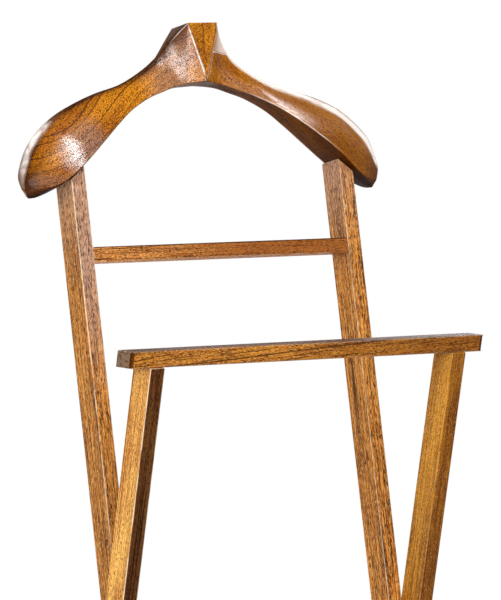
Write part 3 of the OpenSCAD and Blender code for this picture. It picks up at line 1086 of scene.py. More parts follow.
@dataclass
class Timber:
    """A sawn piece of the frame with its arrises eased, made over its CAD node.

    worn_way is the way that its palest arrises face, whose pale colour is wear and a painted
    highlight, and dark_ways those of its darkest arrises and faces, which is painted shade. A
    cone gives the cosines between which that fades in. end_round rounds the front corners of the
    ends more than the rest.
    """

    node: str
    place: Matrix
    finish: WoodFinish
    body: Body
    slot: Slot = Slot.FRAME_WOOD
    ease: float = 1.3 * MM
    end_round: float = 0.0
    # end_wear_and_sheen pales the end faces: wear and a painted sheen
    end_wear_and_sheen: float = 0.0
    # tones paint light and shade on the faces by the way they face
    tones: Tones = field(default_factory=Tones)
    drifts: Tones = field(default_factory=Tones)
    worn_way: Triple = (-0.7, -0.7, 0.0)
    dark_ways: tuple[Triple, ...] = ()
    flat_deg: float = 0.4
    sharp_deg: float = 30.0
    least_edge: float = 4.0
    corner_cos: float = 0.8
    end_cos: float = 0.99
    crease_deg: float = 50.0
    arc_steps: int = 4
    slim: float = 0.75
    worn_cone: Pair = (0.9, 0.96)
    least_wear_and_highlight: float = 0.3
    dark_cone: Pair = (0.88, 0.95)
    dark_depth: float = 0.75
    dull_tone: float = 0.2
    bright_tone: float = 0.7
    least_gloss: float = 0.08

    def build(self) -> Piece:
        """Copy the node into the timber's own frame, ease its arrises and dress it.

        Returns:
            The dressed timber.
        """
        mesh = frame["nodes"][self.node].data.copy()
        mesh.transform(self.place.inverted())
        piece = linked(self.node + "_timber", self._clean(mesh))
        self._ease(piece)
        self._mark(piece.data)
        piece.data.transform(self.place)
        return dress(piece, self.finish.material(self.place), self.body, self.slot, self.node)

    def _clean(self, mesh: Mesh) -> Mesh:
        """Join the split corners, and weight each sharp edge for the easing.

        Args:
            mesh: The node's mesh in the timber's own frame.

        Returns:
            A mesh with whole faces and weighted edges.
        """
        shape = shape_of(mesh)
        weld(shape)
        flat = math.radians(self.flat_deg)
        bmesh.ops.dissolve_limit(shape, angle_limit=flat, verts=shape.verts, edges=shape.edges, delimit=set())
        width = shape.edges.layers.float.new("bevel_weight_edge")
        heights = [vert.co.z for vert in shape.verts]
        bottom, top = min(heights), max(heights)
        for edge in shape.edges:
            edge.smooth = True
            long = edge.calc_length() > self.least_edge * self.ease
            if long and edge.is_manifold and edge.calc_face_angle(0.0) > math.radians(self.sharp_deg):
                ends = [vert.co for vert in edge.verts]
                middle = (ends[0] + ends[1]) / 2
                at_end = min(middle.z - bottom, top - middle.z) < self.ease
                corner = middle.x < 0 and abs((ends[1] - ends[0]).normalized().y) > self.corner_cos
                eased_by = self.end_round if self.end_round and at_end and corner else self.ease
                edge[width] = eased_by / max(self.ease, self.end_round)
        return to_mesh(shape, self.node + "_eased")

    def _ease(self, piece: Piece) -> None:
        """Round the weighted edges and keep the flat faces shaded flat.

        Args:
            piece: The timber in its own frame.
        """
        bevel = piece.modifiers.new("ease", "BEVEL")
        bevel.limit_method = "WEIGHT"
        bevel.width = max(self.ease, self.end_round)
        bevel.segments = self.arc_steps
        bevel.use_clamp_overlap = False
        bake_modifiers(piece)
        shade_smooth(piece.data, self.crease_deg)
        even = piece.modifiers.new("even", "WEIGHTED_NORMAL")
        even.keep_sharp = True
        bake_modifiers(piece)

    def _mark(self, mesh: Mesh) -> None:
        """Number the arrises' pale wear and painted highlight, and each face's tone of painted light and
        shade, drift and gloss for the wood's shader.

        Args:
            mesh: The eased timber's mesh.
        """
        shape = shape_of(mesh)
        narrow = self.slim * self.ease
        slim = {f for f in shape.faces if f.calc_area() < narrow * max(e.calc_length() for e in f.edges)}
        capped = [f for f in shape.faces if self.end_wear_and_sheen and abs(f.normal.z) > self.end_cos]
        ends = {vert for f in capped for vert in f.verts}
        turn = self.place.to_3x3()
        marks = []
        for vert in shape.verts:
            worn = self._wear_and_highlight(turn @ vert.normal) if slim.issuperset(vert.link_faces) else 0.0
            marks.append(self.end_wear_and_sheen if vert in ends else worn)
        ways = [turn @ face.normal for face in shape.faces]
        shape.free()
        # Each face's tone is painted light and shade by its way, deepened by painted shade where it faces a
        # shaded way
        tones = [self.tones.of(way) * (1 - self.dark_depth * self._painted_shade(way)) for way in ways]
        number(mesh, ARRIS, marks)
        number(mesh, TONE, tones, "FACE")
        number(mesh, DRIFT, [self.drifts.of(way) for way in ways], "FACE")
        span = self.bright_tone - self.dull_tone
        gloss = [min(max((tone - self.dull_tone) / span, self.least_gloss), 1.0) for tone in tones]
        number(mesh, GLOSS, gloss, "FACE")

    def _wear_and_highlight(self, way: Vector) -> float:
        """How pale an arris is that faces this way: wear and a painted highlight."""
        near = way.dot(Vector(self.worn_way).normalized())
        return eased(near, *self.worn_cone, self.least_wear_and_highlight, 1.0) * (1 - self._painted_shade(way))

    def _painted_shade(self, way: Vector) -> float:
        """How much painted shade lies on an arris or a face that faces this way."""
        near = max((way.dot(Vector(dark).normalized()) for dark in self.dark_ways), default=0.0)
        return eased(near, *self.dark_cone, 0.0, 1.0)


# ---------------------------------------------------------------- the carved hanger


@dataclass(frozen=True)
class Station:
    """One section of a hanger arm, in millimetres of the hanger's own frame.

    An x runs out from the middle, an h up and a v to the back. A rim is how far the edge beside
    it is rounded off.
    """

    low_x: float
    low_h: float
    crest_x: float
    crest_h: float
    low_rim: float
    up_rim: float
    back_rim: float
    low_v: float
    up_v: float
    crest_front_v: float
    crest_back_v: float
    back_v: float
    swell: float
    belly: float
    fall: float

    def numbers(self) -> list[float]:
        """The station's sizes in order."""
        return [getattr(self, name) for name in self.__dataclass_fields__]


@dataclass
class SectionKeys:
    """The named corners of one section, from which its fine outline is drawn."""

    low: Vector
    arris: Vector
    edge: Vector
    crest_front: Vector
    crest_back: Vector
    back_top: Vector
    back_low: Vector
    under_back: Vector
    under: Vector
    swell: float
    roundness: float


ARM_STATIONS = (
    Station(18, -1, 18, 62, 0.8, 0.8, 38, -12.0, -26.4, -25.6, 7.5, 12.5, 0.0, 0.0, 0.0),
    Station(30, -3, 30, 49, 0.8, 2.4, 26, -8.6, -10.5, -6.5, 6.0, 12.5, 0.0, 0.0, 1.0),
    Station(45, -8, 45, 31, 0.8, 3.0, 12, -7.9, -2.5, 2.0, 9.0, 12.5, 0.0, 0.0, 3.0),
    Station(65, -15, 65, 16.5, 0.8, 3.4, 7, -9.2, -0.6, 2.5, 10.0, 13.0, 0.5, 0.0, 3.0),
    Station(90, -28, 92, 2.5, 0.8, 3.6, 6, -14.4, 2.0, 4.5, 11.0, 14.0, 1.0, 0.5, 3.0),
    Station(112, -44, 120, -5.5, 0.8, 4.6, 6, -20.2, 3.5, 9.0, 12.0, 15.5, 1.5, 1.5, 3.0),
    Station(135, -63, 150, -16.5, 0.8, 6.0, 6, -25.3, 1.0, 4.0, 11.5, 16.5, 2.5, 2.5, 3.0),
    Station(157, -82, 177, -29.5, 0.8, 7.0, 7, -26.8, -1.0, 2.5, 11.0, 17.0, 3.0, 2.5, 3.0),
    Station(176, -98, 197, -44.5, 0.8, 8.0, 7, -22.0, 0.5, 4.0, 11.0, 17.0, 3.0, 2.5, 3.0),
    Station(190.5, -106.5, 211, -60, 1.5, 8.5, 6, -15.0, 0.5, 4.5, 11.0, 16.0, 2.5, 2.0, 3.0),
    Station(204, -112, 218.5, -77, 5.0, 8.5, 6, -5.5, 1.0, 6.0, 12.0, 17.0, 1.5, 2.0, 2.5),
    Station(212, -114, 222, -90, 6.5, 7.0, 5, 0.0, 2.0, 9.0, 13.0, 14.5, 0.5, 1.5, 2.0),
    Station(215, -111, 220, -103, 2.0, 3.0, 2, 5.0, 5.5, 9.0, 11.5, 12.5, 0.0, 1.0, 1.0),
)


@dataclass(frozen=True)
class RimSpot:
    """One point of a hanger section, with how pale its painted highlight is, its tone of stain and painted
    shade, and how polished it is.
    """

    place: Vector
    arris: float
    tone: float
    gloss: float


@dataclass(frozen=True)
class HangerStainAndLight:
    """How dark one section of the hanger is, as stain and as painted shade, and where pale painted
    highlights lie on its rims and arrises.

    Each row of stops follows the arm outward in millimetres, unless its name says that it is up
    the front face, from its lower arris at 0 to its rim at 1, or over the rim, from the front
    face at 0 to the crest at 1. The bend's start and end lie further out by their second number
    up the face. A reach or a line is a width in millimetres. A pair of crests is the left one's
    tone and the right one's, and rim_polish is for the peak and inner left arm, then for the rest.
    """

    side: Side
    out: float
    peak: bool
    line: float = 0.6
    facet_reach: float = 1.05
    brow_reach: Pair = (1.65, 4.95)
    facet_foot: float = 3.0
    facet_slope: float = 15.0
    facet_face: float = 1.1
    beside_facet: float = 0.78
    facet_polish: Pair = (0.95, 0.06)
    facet_rim: float = 0.9
    facet_rim_edge: float = 0.12
    facet_highlight: float = 1.2
    peak_crests: Pair = (0.26, 0.7)
    arm_crests: Pair = (0.18, 0.3)
    crest_fade: float = 0.5
    inner_rim_end: float = 150.0
    rim_polish: Pair = (0.07, 0.2)
    left_gold: Stops = ((60, 0), (90, 1), (172, 1), (186, 0))
    left_gold_share: float = 0.75
    left_shade: Stops = ((18, 0.6), (40, 0.85))
    left_shade_from: Stops = ((90, 0.66), (130, 0.88))
    left_bend: float = 0.55
    left_bend_start: Pair = (165, 12)
    left_bend_end: Pair = (196, 8)
    left_tip: Stops = ((196, 1), (213, 0.22))
    left_lit_hollow: Stops = ((6, 0), (18, 1), (45, 1), (60, 0))
    left_lit_swell: Stops = ((124, 0), (142, 1), (164, 1), (180, 0))
    left_lit_swell_up: Stops = ((0.5, 1), (0.75, 0))
    left_lit_share: float = 0.35
    left_polish_hollow: Stops = ((4, 0.35), (16, 1), (45, 1), (80, 0.06))
    left_polish_swell: Stops = ((122, 0), (142, 0.98))
    left_polish_swell_up: Stops = ((0.6, 1), (0.75, 0.15))
    left_polish: Stops = ((164, 1), (180, 0.12))
    left_polish_up: Stops = ((0.75, 1), (1, 0.2))
    left_rim: Stops = ((40, 0.16), (60, 0.12), (140, 0.12), (165, 0.264))
    left_rim_gold: float = 0.6
    left_rim_gold_over: Stops = ((0.1, 1), (0.5, 0))
    left_worn: Stops = ((160, 0), (176, 1), (206, 1), (213, 0.25))
    left_worn_over: Stops = ((0.1, 0.1), (0.35, 1), (0.75, 1), (1, 0.5))
    left_worn_patch: float = 15.0
    left_worn_swing: float = 0.14
    left_ridge: Stops = ((22, 0.7), (34, 0))
    right_face: Stops = ((18, 0.78), (30, 0.92), (60, 0.92), (170, 0.552), (185, 0.552), (213, 0.276))
    right_polish: Stops = ((18, 0.0975), (40, 0.65), (95, 0.65), (138, 0.0325))
    right_polish_up: Stops = ((0.2, 1), (0.6, 0.02))
    right_rim_over: Stops = ((0.48, 0.8), (0.6, 0.24))
    right_worn: Stops = ((18, 0.6), (30, 1.7), (205, 1.7), (213, 0))
    right_worn_over: Stops = ((0.48, 1), (0.6, 0))
    right_brow: Stops = ((18, 0.5), (40, 1), (205, 1), (213, 0))
    right_arris: Stops = ((50, 0), (90, 0.9), (128, 0.9), (160, 0))
    lip_tone: Stops = ((185, 0.6), (208, 0.24))
    under_tone: Stops = ((120, 0.27), (200, 0.054))

    @property
    def left(self) -> bool:
        """Whether the section is on the left arm, which is the darker at its rim."""
        return self.side is Side.LEFT

    def _out(self, stops: Stops) -> float:
        """The number of a row of stops where this section is."""
        return eased_through(self.out, stops)

    def face(self, t: float) -> float:
        """The front face's tone, with painted shade towards the left arm's rim, bend and tip and
        out along the right arm, and darker where the highlights fall.

        Args:
            t: The share of the way from its lower arris to its rim.

        Returns:
            The tone.
        """
        if self.peak:
            on_facet = self.out < self.facet_foot + self.facet_slope * t
            return 1.0 if self.left else self.facet_face if on_facet else self.beside_facet
        if not self.left:
            return self._out(self.right_face)
        shade = self._out(self.left_shade) * (1 - self.left_gold_share * self._out(self.left_gold))
        rim = eased(t, self._out(self.left_shade_from), 1.0, 1.0, 1.0 - shade)
        start, end = (at + slope * t for at, slope in (self.left_bend_start, self.left_bend_end))
        bend = eased(self.out, start, end, 1.0, self.left_bend)
        lit = self._out(self.left_lit_hollow)
        lit += self._out(self.left_lit_swell) * eased_through(t, self.left_lit_swell_up)
        return rim * self._out(self.left_tip) * bend * (1 - self.left_lit_share * lit)

    def gloss(self, t: float) -> float:
        """How polished the front face is: most at the peak's hollow and along the swell.

        Args:
            t: The share of the way from its lower arris to its rim.

        Returns:
            The polish.
        """
        if self.left:
            swell = self._out(self.left_polish_swell) * eased_through(t, self.left_polish_swell_up)
            most = self._out(self.left_polish_hollow) + swell
            return most * self._out(self.left_polish) * eased_through(t, self.left_polish_up)
        if self.peak:
            start = self.facet_slope * t
            return eased(self.out, start - 2, start + self.facet_foot, *self.facet_polish)
        return max(0.01, self._out(self.right_polish) * eased_through(t, self.right_polish_up))

    def rim_gloss(self) -> float:
        """How polished the rim is."""
        return self.rim_polish[not (self.peak or (self.left and self.out < self.inner_rim_end))]

    def lip(self) -> float:
        """The lower front arris's tone."""
        return self._out(self.lip_tone)

    def under(self) -> float:
        """The underside's tone: painted shade, deepening towards the tip."""
        return self._out(self.under_tone)

    def crest(self) -> float:
        """The tone of the crest's back half: painted shade."""
        crests = self.peak_crests if self.peak else self.arm_crests
        return crests[not self.left]

    def rim(self, s: float, away: float) -> float:
        """The rim's tone: painted shade, darkest along the left arm's rim and towards the right arm's
        crest, golden on the left shoulder, with a dark line at the facet's right edge.

        Args:
            s: The share of the way from the front face to the crest.
            away: How far that is, in millimetres.

        Returns:
            The tone.
        """
        if self.peak:
            return self.facet_rim_edge if away < self.line and not self.left else self.facet_rim
        if self.left:
            dark = self._out(self.left_rim)
            gold = self._out(self.left_gold) * eased_through(s, self.left_rim_gold_over)
            return dark + (self.left_rim_gold - dark) * gold
        return eased_through(s, self.right_rim_over)

    def arris_line(self, away: float) -> float:
        """How pale the right arm's face is this far above its lower arris: a painted highlight along the
        arris.
        """
        worn = not (self.left or self.peak or away > self.line)
        return self._out(self.right_arris) if worn else 0.0

    def brow(self, away: float) -> float:
        """How pale the right arm's face is this far below its rim: the edge of the rim's painted highlight.
        """
        worn = not (self.left or self.peak)
        return eased(away, *self.brow_reach, 1.0, 0.0) * self._out(self.right_brow) if worn else 0.0

    def facet_line(self, away: float) -> float:
        """How pale the facet's left edge is, and the ridge that runs on from it: a painted highlight.

        Args:
            away: How far from the edge, in millimetres.

        Returns:
            The wear.
        """
        if not self.left or away > (self.facet_reach if self.peak else self.line):
            return 0.0
        return self.facet_highlight if self.peak else self._out(self.left_ridge)

    def rim_line(self, s: float) -> float:
        """How pale the rim is: a painted highlight in a band on the outer left arm and along the right one.

        Args:
            s: The share of the way from the front face to the crest.

        Returns:
            The wear.
        """
        if self.peak:
            return 0.0
        if self.left:
            swing = self.left_worn_swing * math.sin(self.out * math.tau / self.left_worn_patch)
            patches = 1 - self.left_worn_swing + swing
            return patches * self._out(self.left_worn) * eased_through(s, self.left_worn_over)
        return self._out(self.right_worn) * eased_through(s, self.right_worn_over)

    def crest_line(self, s: float) -> float:
        """How pale the crest's back half is, a share s of the way behind it, where the rim's painted
        highlight runs on.
        """
        return self.rim_line(1.0) * (1 - self.crest_fade * s) if self.left else 0.0


@dataclass
class Hanger:
    """The carved hanger: two swept arms that meet in a tall peak with a proud facet."""

    layout: StandLayout
    finish: WoodFinish
    node: str = "coat_hanger"
    crown_up: float = 632 * MM
    apex_v: float = -21.6
    apex_h: float = 1.5
    crown_h: float = 0.5
    crown_back_v: float = 9.5
    low_back: float = 0.7
    low_inset: Triple = (0, 0.56, -0.8)
    back_edge: float = 2.0
    belly_at: float = 0.4
    belly_left: float = 0.5
    rim_power: float = 0.855
    peak_power: int = 6
    station_steps: int = 9
    peak_steps: int = 10
    face_steps: int = 12
    rim_steps: int = 6
    line_width: float = 1.0
    # Each triple of marks is the pale arris mark, which paints wear and highlight, then the tone and the
    # gloss
    cap_marks: Triple = (0.0, 0.2, 0.1)
    low_polish: float = 0.1
    back_shares: tuple[float, ...] = (0.04, 0.25, 0.5, 0.75, 0.96)
    back_marks: Triple = (0.0, 0.85, 0.5)
    back_low_marks: Triple = (0.5, 0.7, 0.3)
    under_back_marks: Triple = (0.3, 0.5, 0.1)
    under_shares: tuple[Triple, Triple] = ((0.1, 0.55, 1.0), (0.4, 0.75, 0.95))
    under_polish: float = 0.05
    crease_deg: float = 32.0
    head_tall: float = 2.2
    seat_gap: float = 0.1 * MM
    seat_face: float = 0.2 * MM
    seat_reach: float = 60 * MM

    def build(self) -> Piece:
        """Loft, seat and dress the hanger.

        Returns:
            The dressed hanger.
        """
        rings = [self._ring(keys, side) for side, keys in self._sections()]
        place = self.layout.coat_place(up=self.crown_up)
        mesh = self._loft([[spot.place for spot in ring] for ring in rings])
        mesh.transform(place)
        piece = linked("carved_hanger", mesh)
        for name, cap in zip((ARRIS, TONE, GLOSS), self.cap_marks):
            number(mesh, name, [getattr(spot, name) for ring in rings for spot in ring] + [cap, cap])
        self._keep_in_box(mesh)
        for side in Side:
            cut_away(piece, self._seat_block(side))
        shade_smooth(piece.data, self.crease_deg)
        return dress(piece, self.finish.material(place), Body.COAT, Slot.HANGER_WOOD, self.node)

    def _sections(self) -> list[tuple[Side, SectionKeys]]:
        """Find every section from the left tip to the right tip.

        Returns:
            The sections, each with the side that it is on.
        """
        rows = [station.numbers() for station in ARM_STATIONS]
        last = len(rows) - 1
        keys = []
        for k in range(last):
            near = [rows[max(k - 1, 0)], rows[k], rows[k + 1], rows[min(k + 2, last)]]
            for step in range(self.station_steps):
                row = [self._spline(*four, step / self.station_steps) for four in zip(*near)]
                keys.append(self._arm_keys(Station(*row)))
        keys.append(self._arm_keys(ARM_STATIONS[last]))
        peak = [self._peak_keys(keys[0], k / self.peak_steps) for k in range(self.peak_steps)]
        half = peak + keys
        return [(Side.LEFT, k) for k in reversed(half[1:])] + [(Side.RIGHT, k) for k in half]

    @staticmethod
    def _spline(a: float, b: float, c: float, d: float, t: float) -> float:
        """Smooth curve through four values, from the second to the third."""
        square, cube = 2 * a - 5 * b + 4 * c - d, 3 * b - a - 3 * c + d
        return 0.5 * (2 * b + (c - a) * t + square * t * t + cube * t**3)

    def _arm_keys(self, s: Station) -> SectionKeys:
        """The corners of a section across an arm.

        Args:
            s: The section's sizes.

        Returns:
            Its corners, in millimetres of the hanger's frame.
        """
        low, up = Vector((s.low_x, 0, s.low_h)), Vector((s.crest_x, 0, s.crest_h))
        tall = (up - low).length
        along = (up - low) / tall
        belly = s.belly * self.belly_left

        def at(v: float, t: float) -> Vector:
            """The point at a depth v and a way t up the section."""
            return low + along * t + Vector((0, v, 0))

        return SectionKeys(
            low=at(s.low_v + self.low_back * s.low_rim, 0),
            arris=at(s.low_v, s.low_rim),
            edge=at(s.up_v, tall - s.up_rim),
            crest_front=at(s.crest_front_v, tall),
            crest_back=at(s.crest_back_v, tall - s.fall),
            back_top=at(s.back_v, tall - s.back_rim),
            back_low=at(s.back_v, self.back_edge - belly),
            under_back=at(s.back_v - self.back_edge, -belly),
            under=at(s.low_v + (s.back_v - s.low_v) * self.belly_at, -s.belly),
            swell=s.swell,
            roundness=1.0,
        )

    def _peak_keys(self, corner: SectionKeys, q: float) -> SectionKeys:
        """The corners of a section through the peak.

        Args:
            corner: The section where the peak meets the arm.
            q: The share of the way from the peak's middle to that corner.

        Returns:
            Its corners, in millimetres of the hanger's frame.
        """
        across = corner.low.x * q
        back_in = (1 - q) * (corner.back_top.y - self.crown_back_v)
        low_up = (1 - q) * (self.crown_h - corner.arris.z)

        def bent(start_h: float, end: Vector) -> Vector:
            """The point a share q of the way from the apex, at a height, to an end."""
            return Vector((across, self.apex_v + (end.y - self.apex_v) * q, start_h + (end.z - start_h) * q))

        def moved(point: Vector, inward: float, lift: float) -> Vector:
            """A corner's point brought to this section, inward and up."""
            return Vector((point.x * q, point.y - inward, point.z + lift))

        arris = bent(self.crown_h, corner.arris)
        back_v = corner.back_top.y - back_in
        return SectionKeys(
            low=arris + Vector(self.low_inset),
            arris=arris,
            edge=bent(self.apex_h, corner.edge),
            crest_front=Vector((across, corner.edge.y, corner.crest_front.z)),
            crest_back=moved(corner.crest_back, 0, 0),
            back_top=moved(corner.back_top, back_in, 0),
            back_low=moved(corner.back_low, back_in, low_up),
            under_back=moved(corner.under_back, back_in, low_up),
            under=Vector((across, arris.y + (back_v - arris.y) * self.belly_at, corner.under.z + low_up)),
            swell=0.0,
            roundness=q**self.peak_power,
        )

    def _ring(self, k: SectionKeys, side: Side) -> list[RimSpot]:
        """The fine outline of a section, with its pale painted highlights, its stain and its painted shade.

        Args:
            k: The section's corners.
            side: The side of the hanger that it is on.

        Returns:
            The outline's points in metres, from the front lower arris round to the underside.
        """
        out = k.low.x
        # The section's tones and pale marks are stain, painted shade and painted highlights
        stain = HangerStainAndLight(side, out, out < ARM_STATIONS[0].low_x)
        under, polish = stain.under(), stain.rim_gloss()
        tall, across = (k.edge - k.arris).length, (k.crest_front - k.edge).length
        spots = [
            (k.low, 0.0, under, self.low_polish),
            (k.arris, stain.arris_line(0.0), stain.lip(), stain.gloss(0.0)),
        ]
        for t in self._shares(tall, self.face_steps):
            swelled = k.arris.lerp(k.edge, t) - Vector((0, k.swell * 4 * t * (1 - t), 0))
            down = (1 - t) * tall
            wear_and_highlight = max(stain.arris_line(t * tall), stain.facet_line(down), stain.brow(down))
            spots.append((swelled, wear_and_highlight, stain.face(t), stain.gloss(t)))
        for p, s in self._rim(k.edge, k.crest_front, k.roundness):
            wear_and_highlight = max(stain.rim_line(s), stain.facet_line(s * across))
            spots.append((p, wear_and_highlight, stain.rim(s, s * across), polish))
        for p, s in self._rim(k.crest_back, k.back_top, 1.0, flip=True):
            spots.append((p, stain.crest_line(s), stain.crest(), polish))
        spots += [(k.back_top.lerp(k.back_low, t), *self.back_marks) for t in self.back_shares]
        spots += [(k.back_low, *self.back_low_marks), (k.under_back, *self.under_back_marks)]
        for start, end, shares in zip((k.under_back, k.under), (k.under, k.low), self.under_shares):
            spots += [(start.lerp(end, t), 0.0, under, self.under_polish) for t in shares]
        return [RimSpot(Vector((side.value * p.x, p.y, p.z)) * MM, *marks) for p, *marks in spots]

    def _shares(self, length: float, steps: int) -> list[float]:
        """Divide a face into steps, with narrow ones at both ends so that an arris line stays thin.

        Args:
            length: The face's length.
            steps: How many even steps it has.

        Returns:
            The share of the way that each step ends at, without 0 and 1.
        """
        narrow = min(self.line_width / max(length, 1e-6), 0.5 / steps)
        inner = [k / steps for k in range(1, steps)]
        return [0.5 * narrow, narrow] + inner + [1 - narrow, 1 - 0.5 * narrow]

    def _rim(
        self, start: Vector, end: Vector, roundness: float, flip: bool = False,
    ) -> list[tuple[Vector, float]]:
        """A rim that turns from one face to the next over an eased quarter.

        Args:
            start: Where the rim leaves the first face.
            end: Where it meets the second.
            roundness: 1 for an eased quarter, 0 for a flat facet.
            flip: Whether the quarter swells upward first, as behind the crest.

        Returns:
            The rim's points, each with its share of the way.
        """
        points = []
        corner = Vector((start.x, end.y, start.z)) if flip else Vector((end.x, start.y, end.z))
        for share in [0.0, *self._shares((end - start).length, self.rim_steps), 1.0]:
            turn = share * math.pi / 2
            first = (1 - math.sin(turn)) ** self.rim_power
            second = (1 - math.cos(turn)) ** self.rim_power
            quarter = corner + (start - corner) * first + (end - corner) * second
            points.append((start.lerp(end, share).lerp(quarter, roundness), share))
        return points

    def _loft(self, rings: list[list[Vector]]) -> Mesh:
        """Skin the sections into one closed mesh.

        Args:
            rings: Each section's points, from the left tip to the right tip.

        Returns:
            The mesh, whose last two points are the middles of its ends.
        """
        shape = bmesh.new()
        rows = [[shape.verts.new(p) for p in ring] for ring in rings]
        steps = around(len(rows[0]))
        for a, b in zip(rows, rows[1:]):
            for i, j in steps:
                shape.faces.new((a[i], a[j], b[j], b[i]))
        for row, ways in ((rows[0], -1), (rows[-1], 1)):
            middle = shape.verts.new(sum((v.co for v in row), Vector()) / len(row))
            for pair in steps:
                i, j = pair[::ways]
                shape.faces.new((row[i], row[j], middle))
        bmesh.ops.recalc_face_normals(shape, faces=shape.faces)
        return to_mesh(shape, "carved_hanger")

    def _keep_in_box(self, mesh: Mesh) -> None:
        """Bring what the finer curves push out of the node's box back to it.

        Args:
            mesh: The hanger's mesh, in place.
        """
        low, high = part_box(self.node)
        for vert in mesh.vertices:
            vert.co = Vector(min(max(c, a), b) for c, a, b in zip(vert.co, low, high))

    def _seat_block(self, side: Side) -> Piece:
        """The solid that an upright's head takes up in the hanger.

        Args:
            side: The upright's side.

        Returns:
            A closed block, the gap larger than the upright all round, in place.
        """
        place = self.layout.coat_place()
        back = place.inverted()
        points = [back @ v.co for v in frame["nodes"][side.word + "_upright"].data.vertices]
        top = max(p.z for p in points)
        head = [p for p in points if p.z > top - self.layout.stile_thick * self.head_tall]
        gap = self.seat_gap
        front, rear = min(p.y for p in head) - gap, max(p.y for p in head) + gap
        shape = bmesh.new()
        rows = []
        for x, way in ((min(p.x for p in head), -gap), (max(p.x for p in head), gap)):
            tall = max(p.z for p in head if abs(p.x - x) < self.seat_face) + gap
            foot = tall - self.seat_reach
            corners = ((front, foot), (rear, foot), (rear, tall), (front, tall))
            rows.append([shape.verts.new((x + way, v, z)) for v, z in corners])
        for i, j in around(4):
            shape.faces.new((rows[0][i], rows[0][j], rows[1][j], rows[1][i]))
        shape.faces.new(rows[0])
        shape.faces.new(rows[1])
        bmesh.ops.recalc_face_normals(shape, faces=shape.faces)
        mesh = to_mesh(shape, "seat_cutter")
        mesh.transform(place)
        return linked("seat_cutter", mesh)


# ---------------------------------------------------------------- sub-assemblies


@dataclass
class CoatFrame:
    """The frame that leans back: uprights, hanger, crossbar and foot stretcher."""

    layout: StandLayout
    hanger_wood: WoodFinish = WoodFinish(
        "hanger_lacquered", GrainAxis((-0.1665, -0.0885, 0.189), (0.737, 0.255, 0.626)),
        right_grain=GrainAxis((0.150, -0.120, -0.250), (0.80, 0.10, -0.59)), seed=2.0,
        # worn here is the near-white of the rims' and arrises' painted highlights
        pale=srgb(208, 130, 22), deep=srgb(142, 72, 8), fleck=srgb(232, 160, 44), worn=srgb(240, 230, 222),
        ring_width=7.0 * MM, ring_line=14.0, ring_depth=0.35, wobble=0.5 * MM, wobble_size=60 * MM,
        years=((208.5, 0.4), (211.6, 0.85), (214.6, 0.8), (221.2, 1.0), (230.3, 0.8), (236.0, 0.6)),
        pore_width=0.7 * MM, pore_length=2.4 * MM, fleck_depth=0.5, streak=0.4, streak_line=0.0,
        mottle_size=26 * MM, wear_and_highlight=0.95, edge_break_least=0.5, rough=0.3, shine=0.015, coat=1.0, coat_ior=1.95,
        relief=0.3 * MM, marks=(GlueLine(), FacetLineAndHighlight()),
    )
    # painted sheen on the uprights' fronts towards the hanger
    upright_drift: ShadeAndSheenDrift = ShadeAndSheenDrift(430 * MM, 590 * MM, share=0.75, lead=150 * MM)
    upright_knot: Knot = Knot((-8.5 * MM, -9 * MM, 152 * MM))
    # painted shade deepening the crossbar and stretcher towards the right
    cross_shade: ShadeAndSheenDrift = ShadeAndSheenDrift(-140 * MM, 70 * MM, srgb(132, 66, 14), 0.75, 0.0)

    def build(self) -> list[Piece]:
        """Build the coat frame's timbers.

        Returns:
            The dressed pieces.
        """
        return [
            Hanger(self.layout, self.hanger_wood).build(),
            *(self._upright(side) for side in Side),
            self._cross_member("crossbar", (-0.04, 0.02, 0)),
            self._cross_member("foot_stretcher", (0.03, 0.05, 0)),
        ]

    def _upright(self, side: Side) -> Piece:
        """Build one upright, whose front pales towards the hanger on the left in a painted sheen.

        Args:
            side: Its side.

        Returns:
            The dressed upright.
        """
        left = side is Side.LEFT
        wood = WoodFinish(
            side.word + "_upright_wood", GrainAxis((side.value * -0.035, 0.06, 0), (0.006, 0.012, 1)),
            seed=5.0 + side.value, streak=0.7, streak_line=0.9, streak_width=1.1 * MM,
            pore_width=0.75 * MM, pore_length=6 * MM,
            marks=(self.upright_drift, self.upright_knot) if left else (self.upright_drift,),
        )
        mid = self.layout.upright_inner + self.layout.stile_thick / 2
        return Timber(
            side.word + "_upright", self.layout.coat_place(side.value * mid), wood, Body.COAT,
            # tones darken the fronts and lighten the right upright's inner face: painted shade and light
            tones=Tones(front=0.84) if left else Tones(front=0.88, left=1.02),
            drifts=Tones(front=1.0 if left else 0.0, left=0.1, right=0.1, back=0.1),
        ).build()

    def _cross_member(self, node: str, pith: Triple) -> Piece:
        """Build one timber between the uprights.

        Args:
            node: Its node.
            pith: Where the tree's pith lay beside it.

        Returns:
            The dressed timber.
        """
        up = (middle_of(node) - self.layout.pivot).z / math.cos(self.layout.lean)
        wood = WoodFinish(
            node + "_wood", GrainAxis(pith, (0.01, 0.004, 1)), pale=srgb(222, 144, 70),
            deep=srgb(160, 88, 32), seed=9.0 + up, ring_width=4 * MM, shine=0.02, marks=(self.cross_shade,),
        )
        return Timber(
            node, lengthwise(self.layout.coat_place(up=up)), wood, Body.COAT,
            # tones darken the tops and lighten the undersides, and dark_ways darkens the top-front arris:
            # painted shade and light
            tones=Tones(front=0.94, top=0.25, under=1.5), worn_way=(0, 0, -1), dark_ways=((0, -0.7, 0.7),),
        ).build()


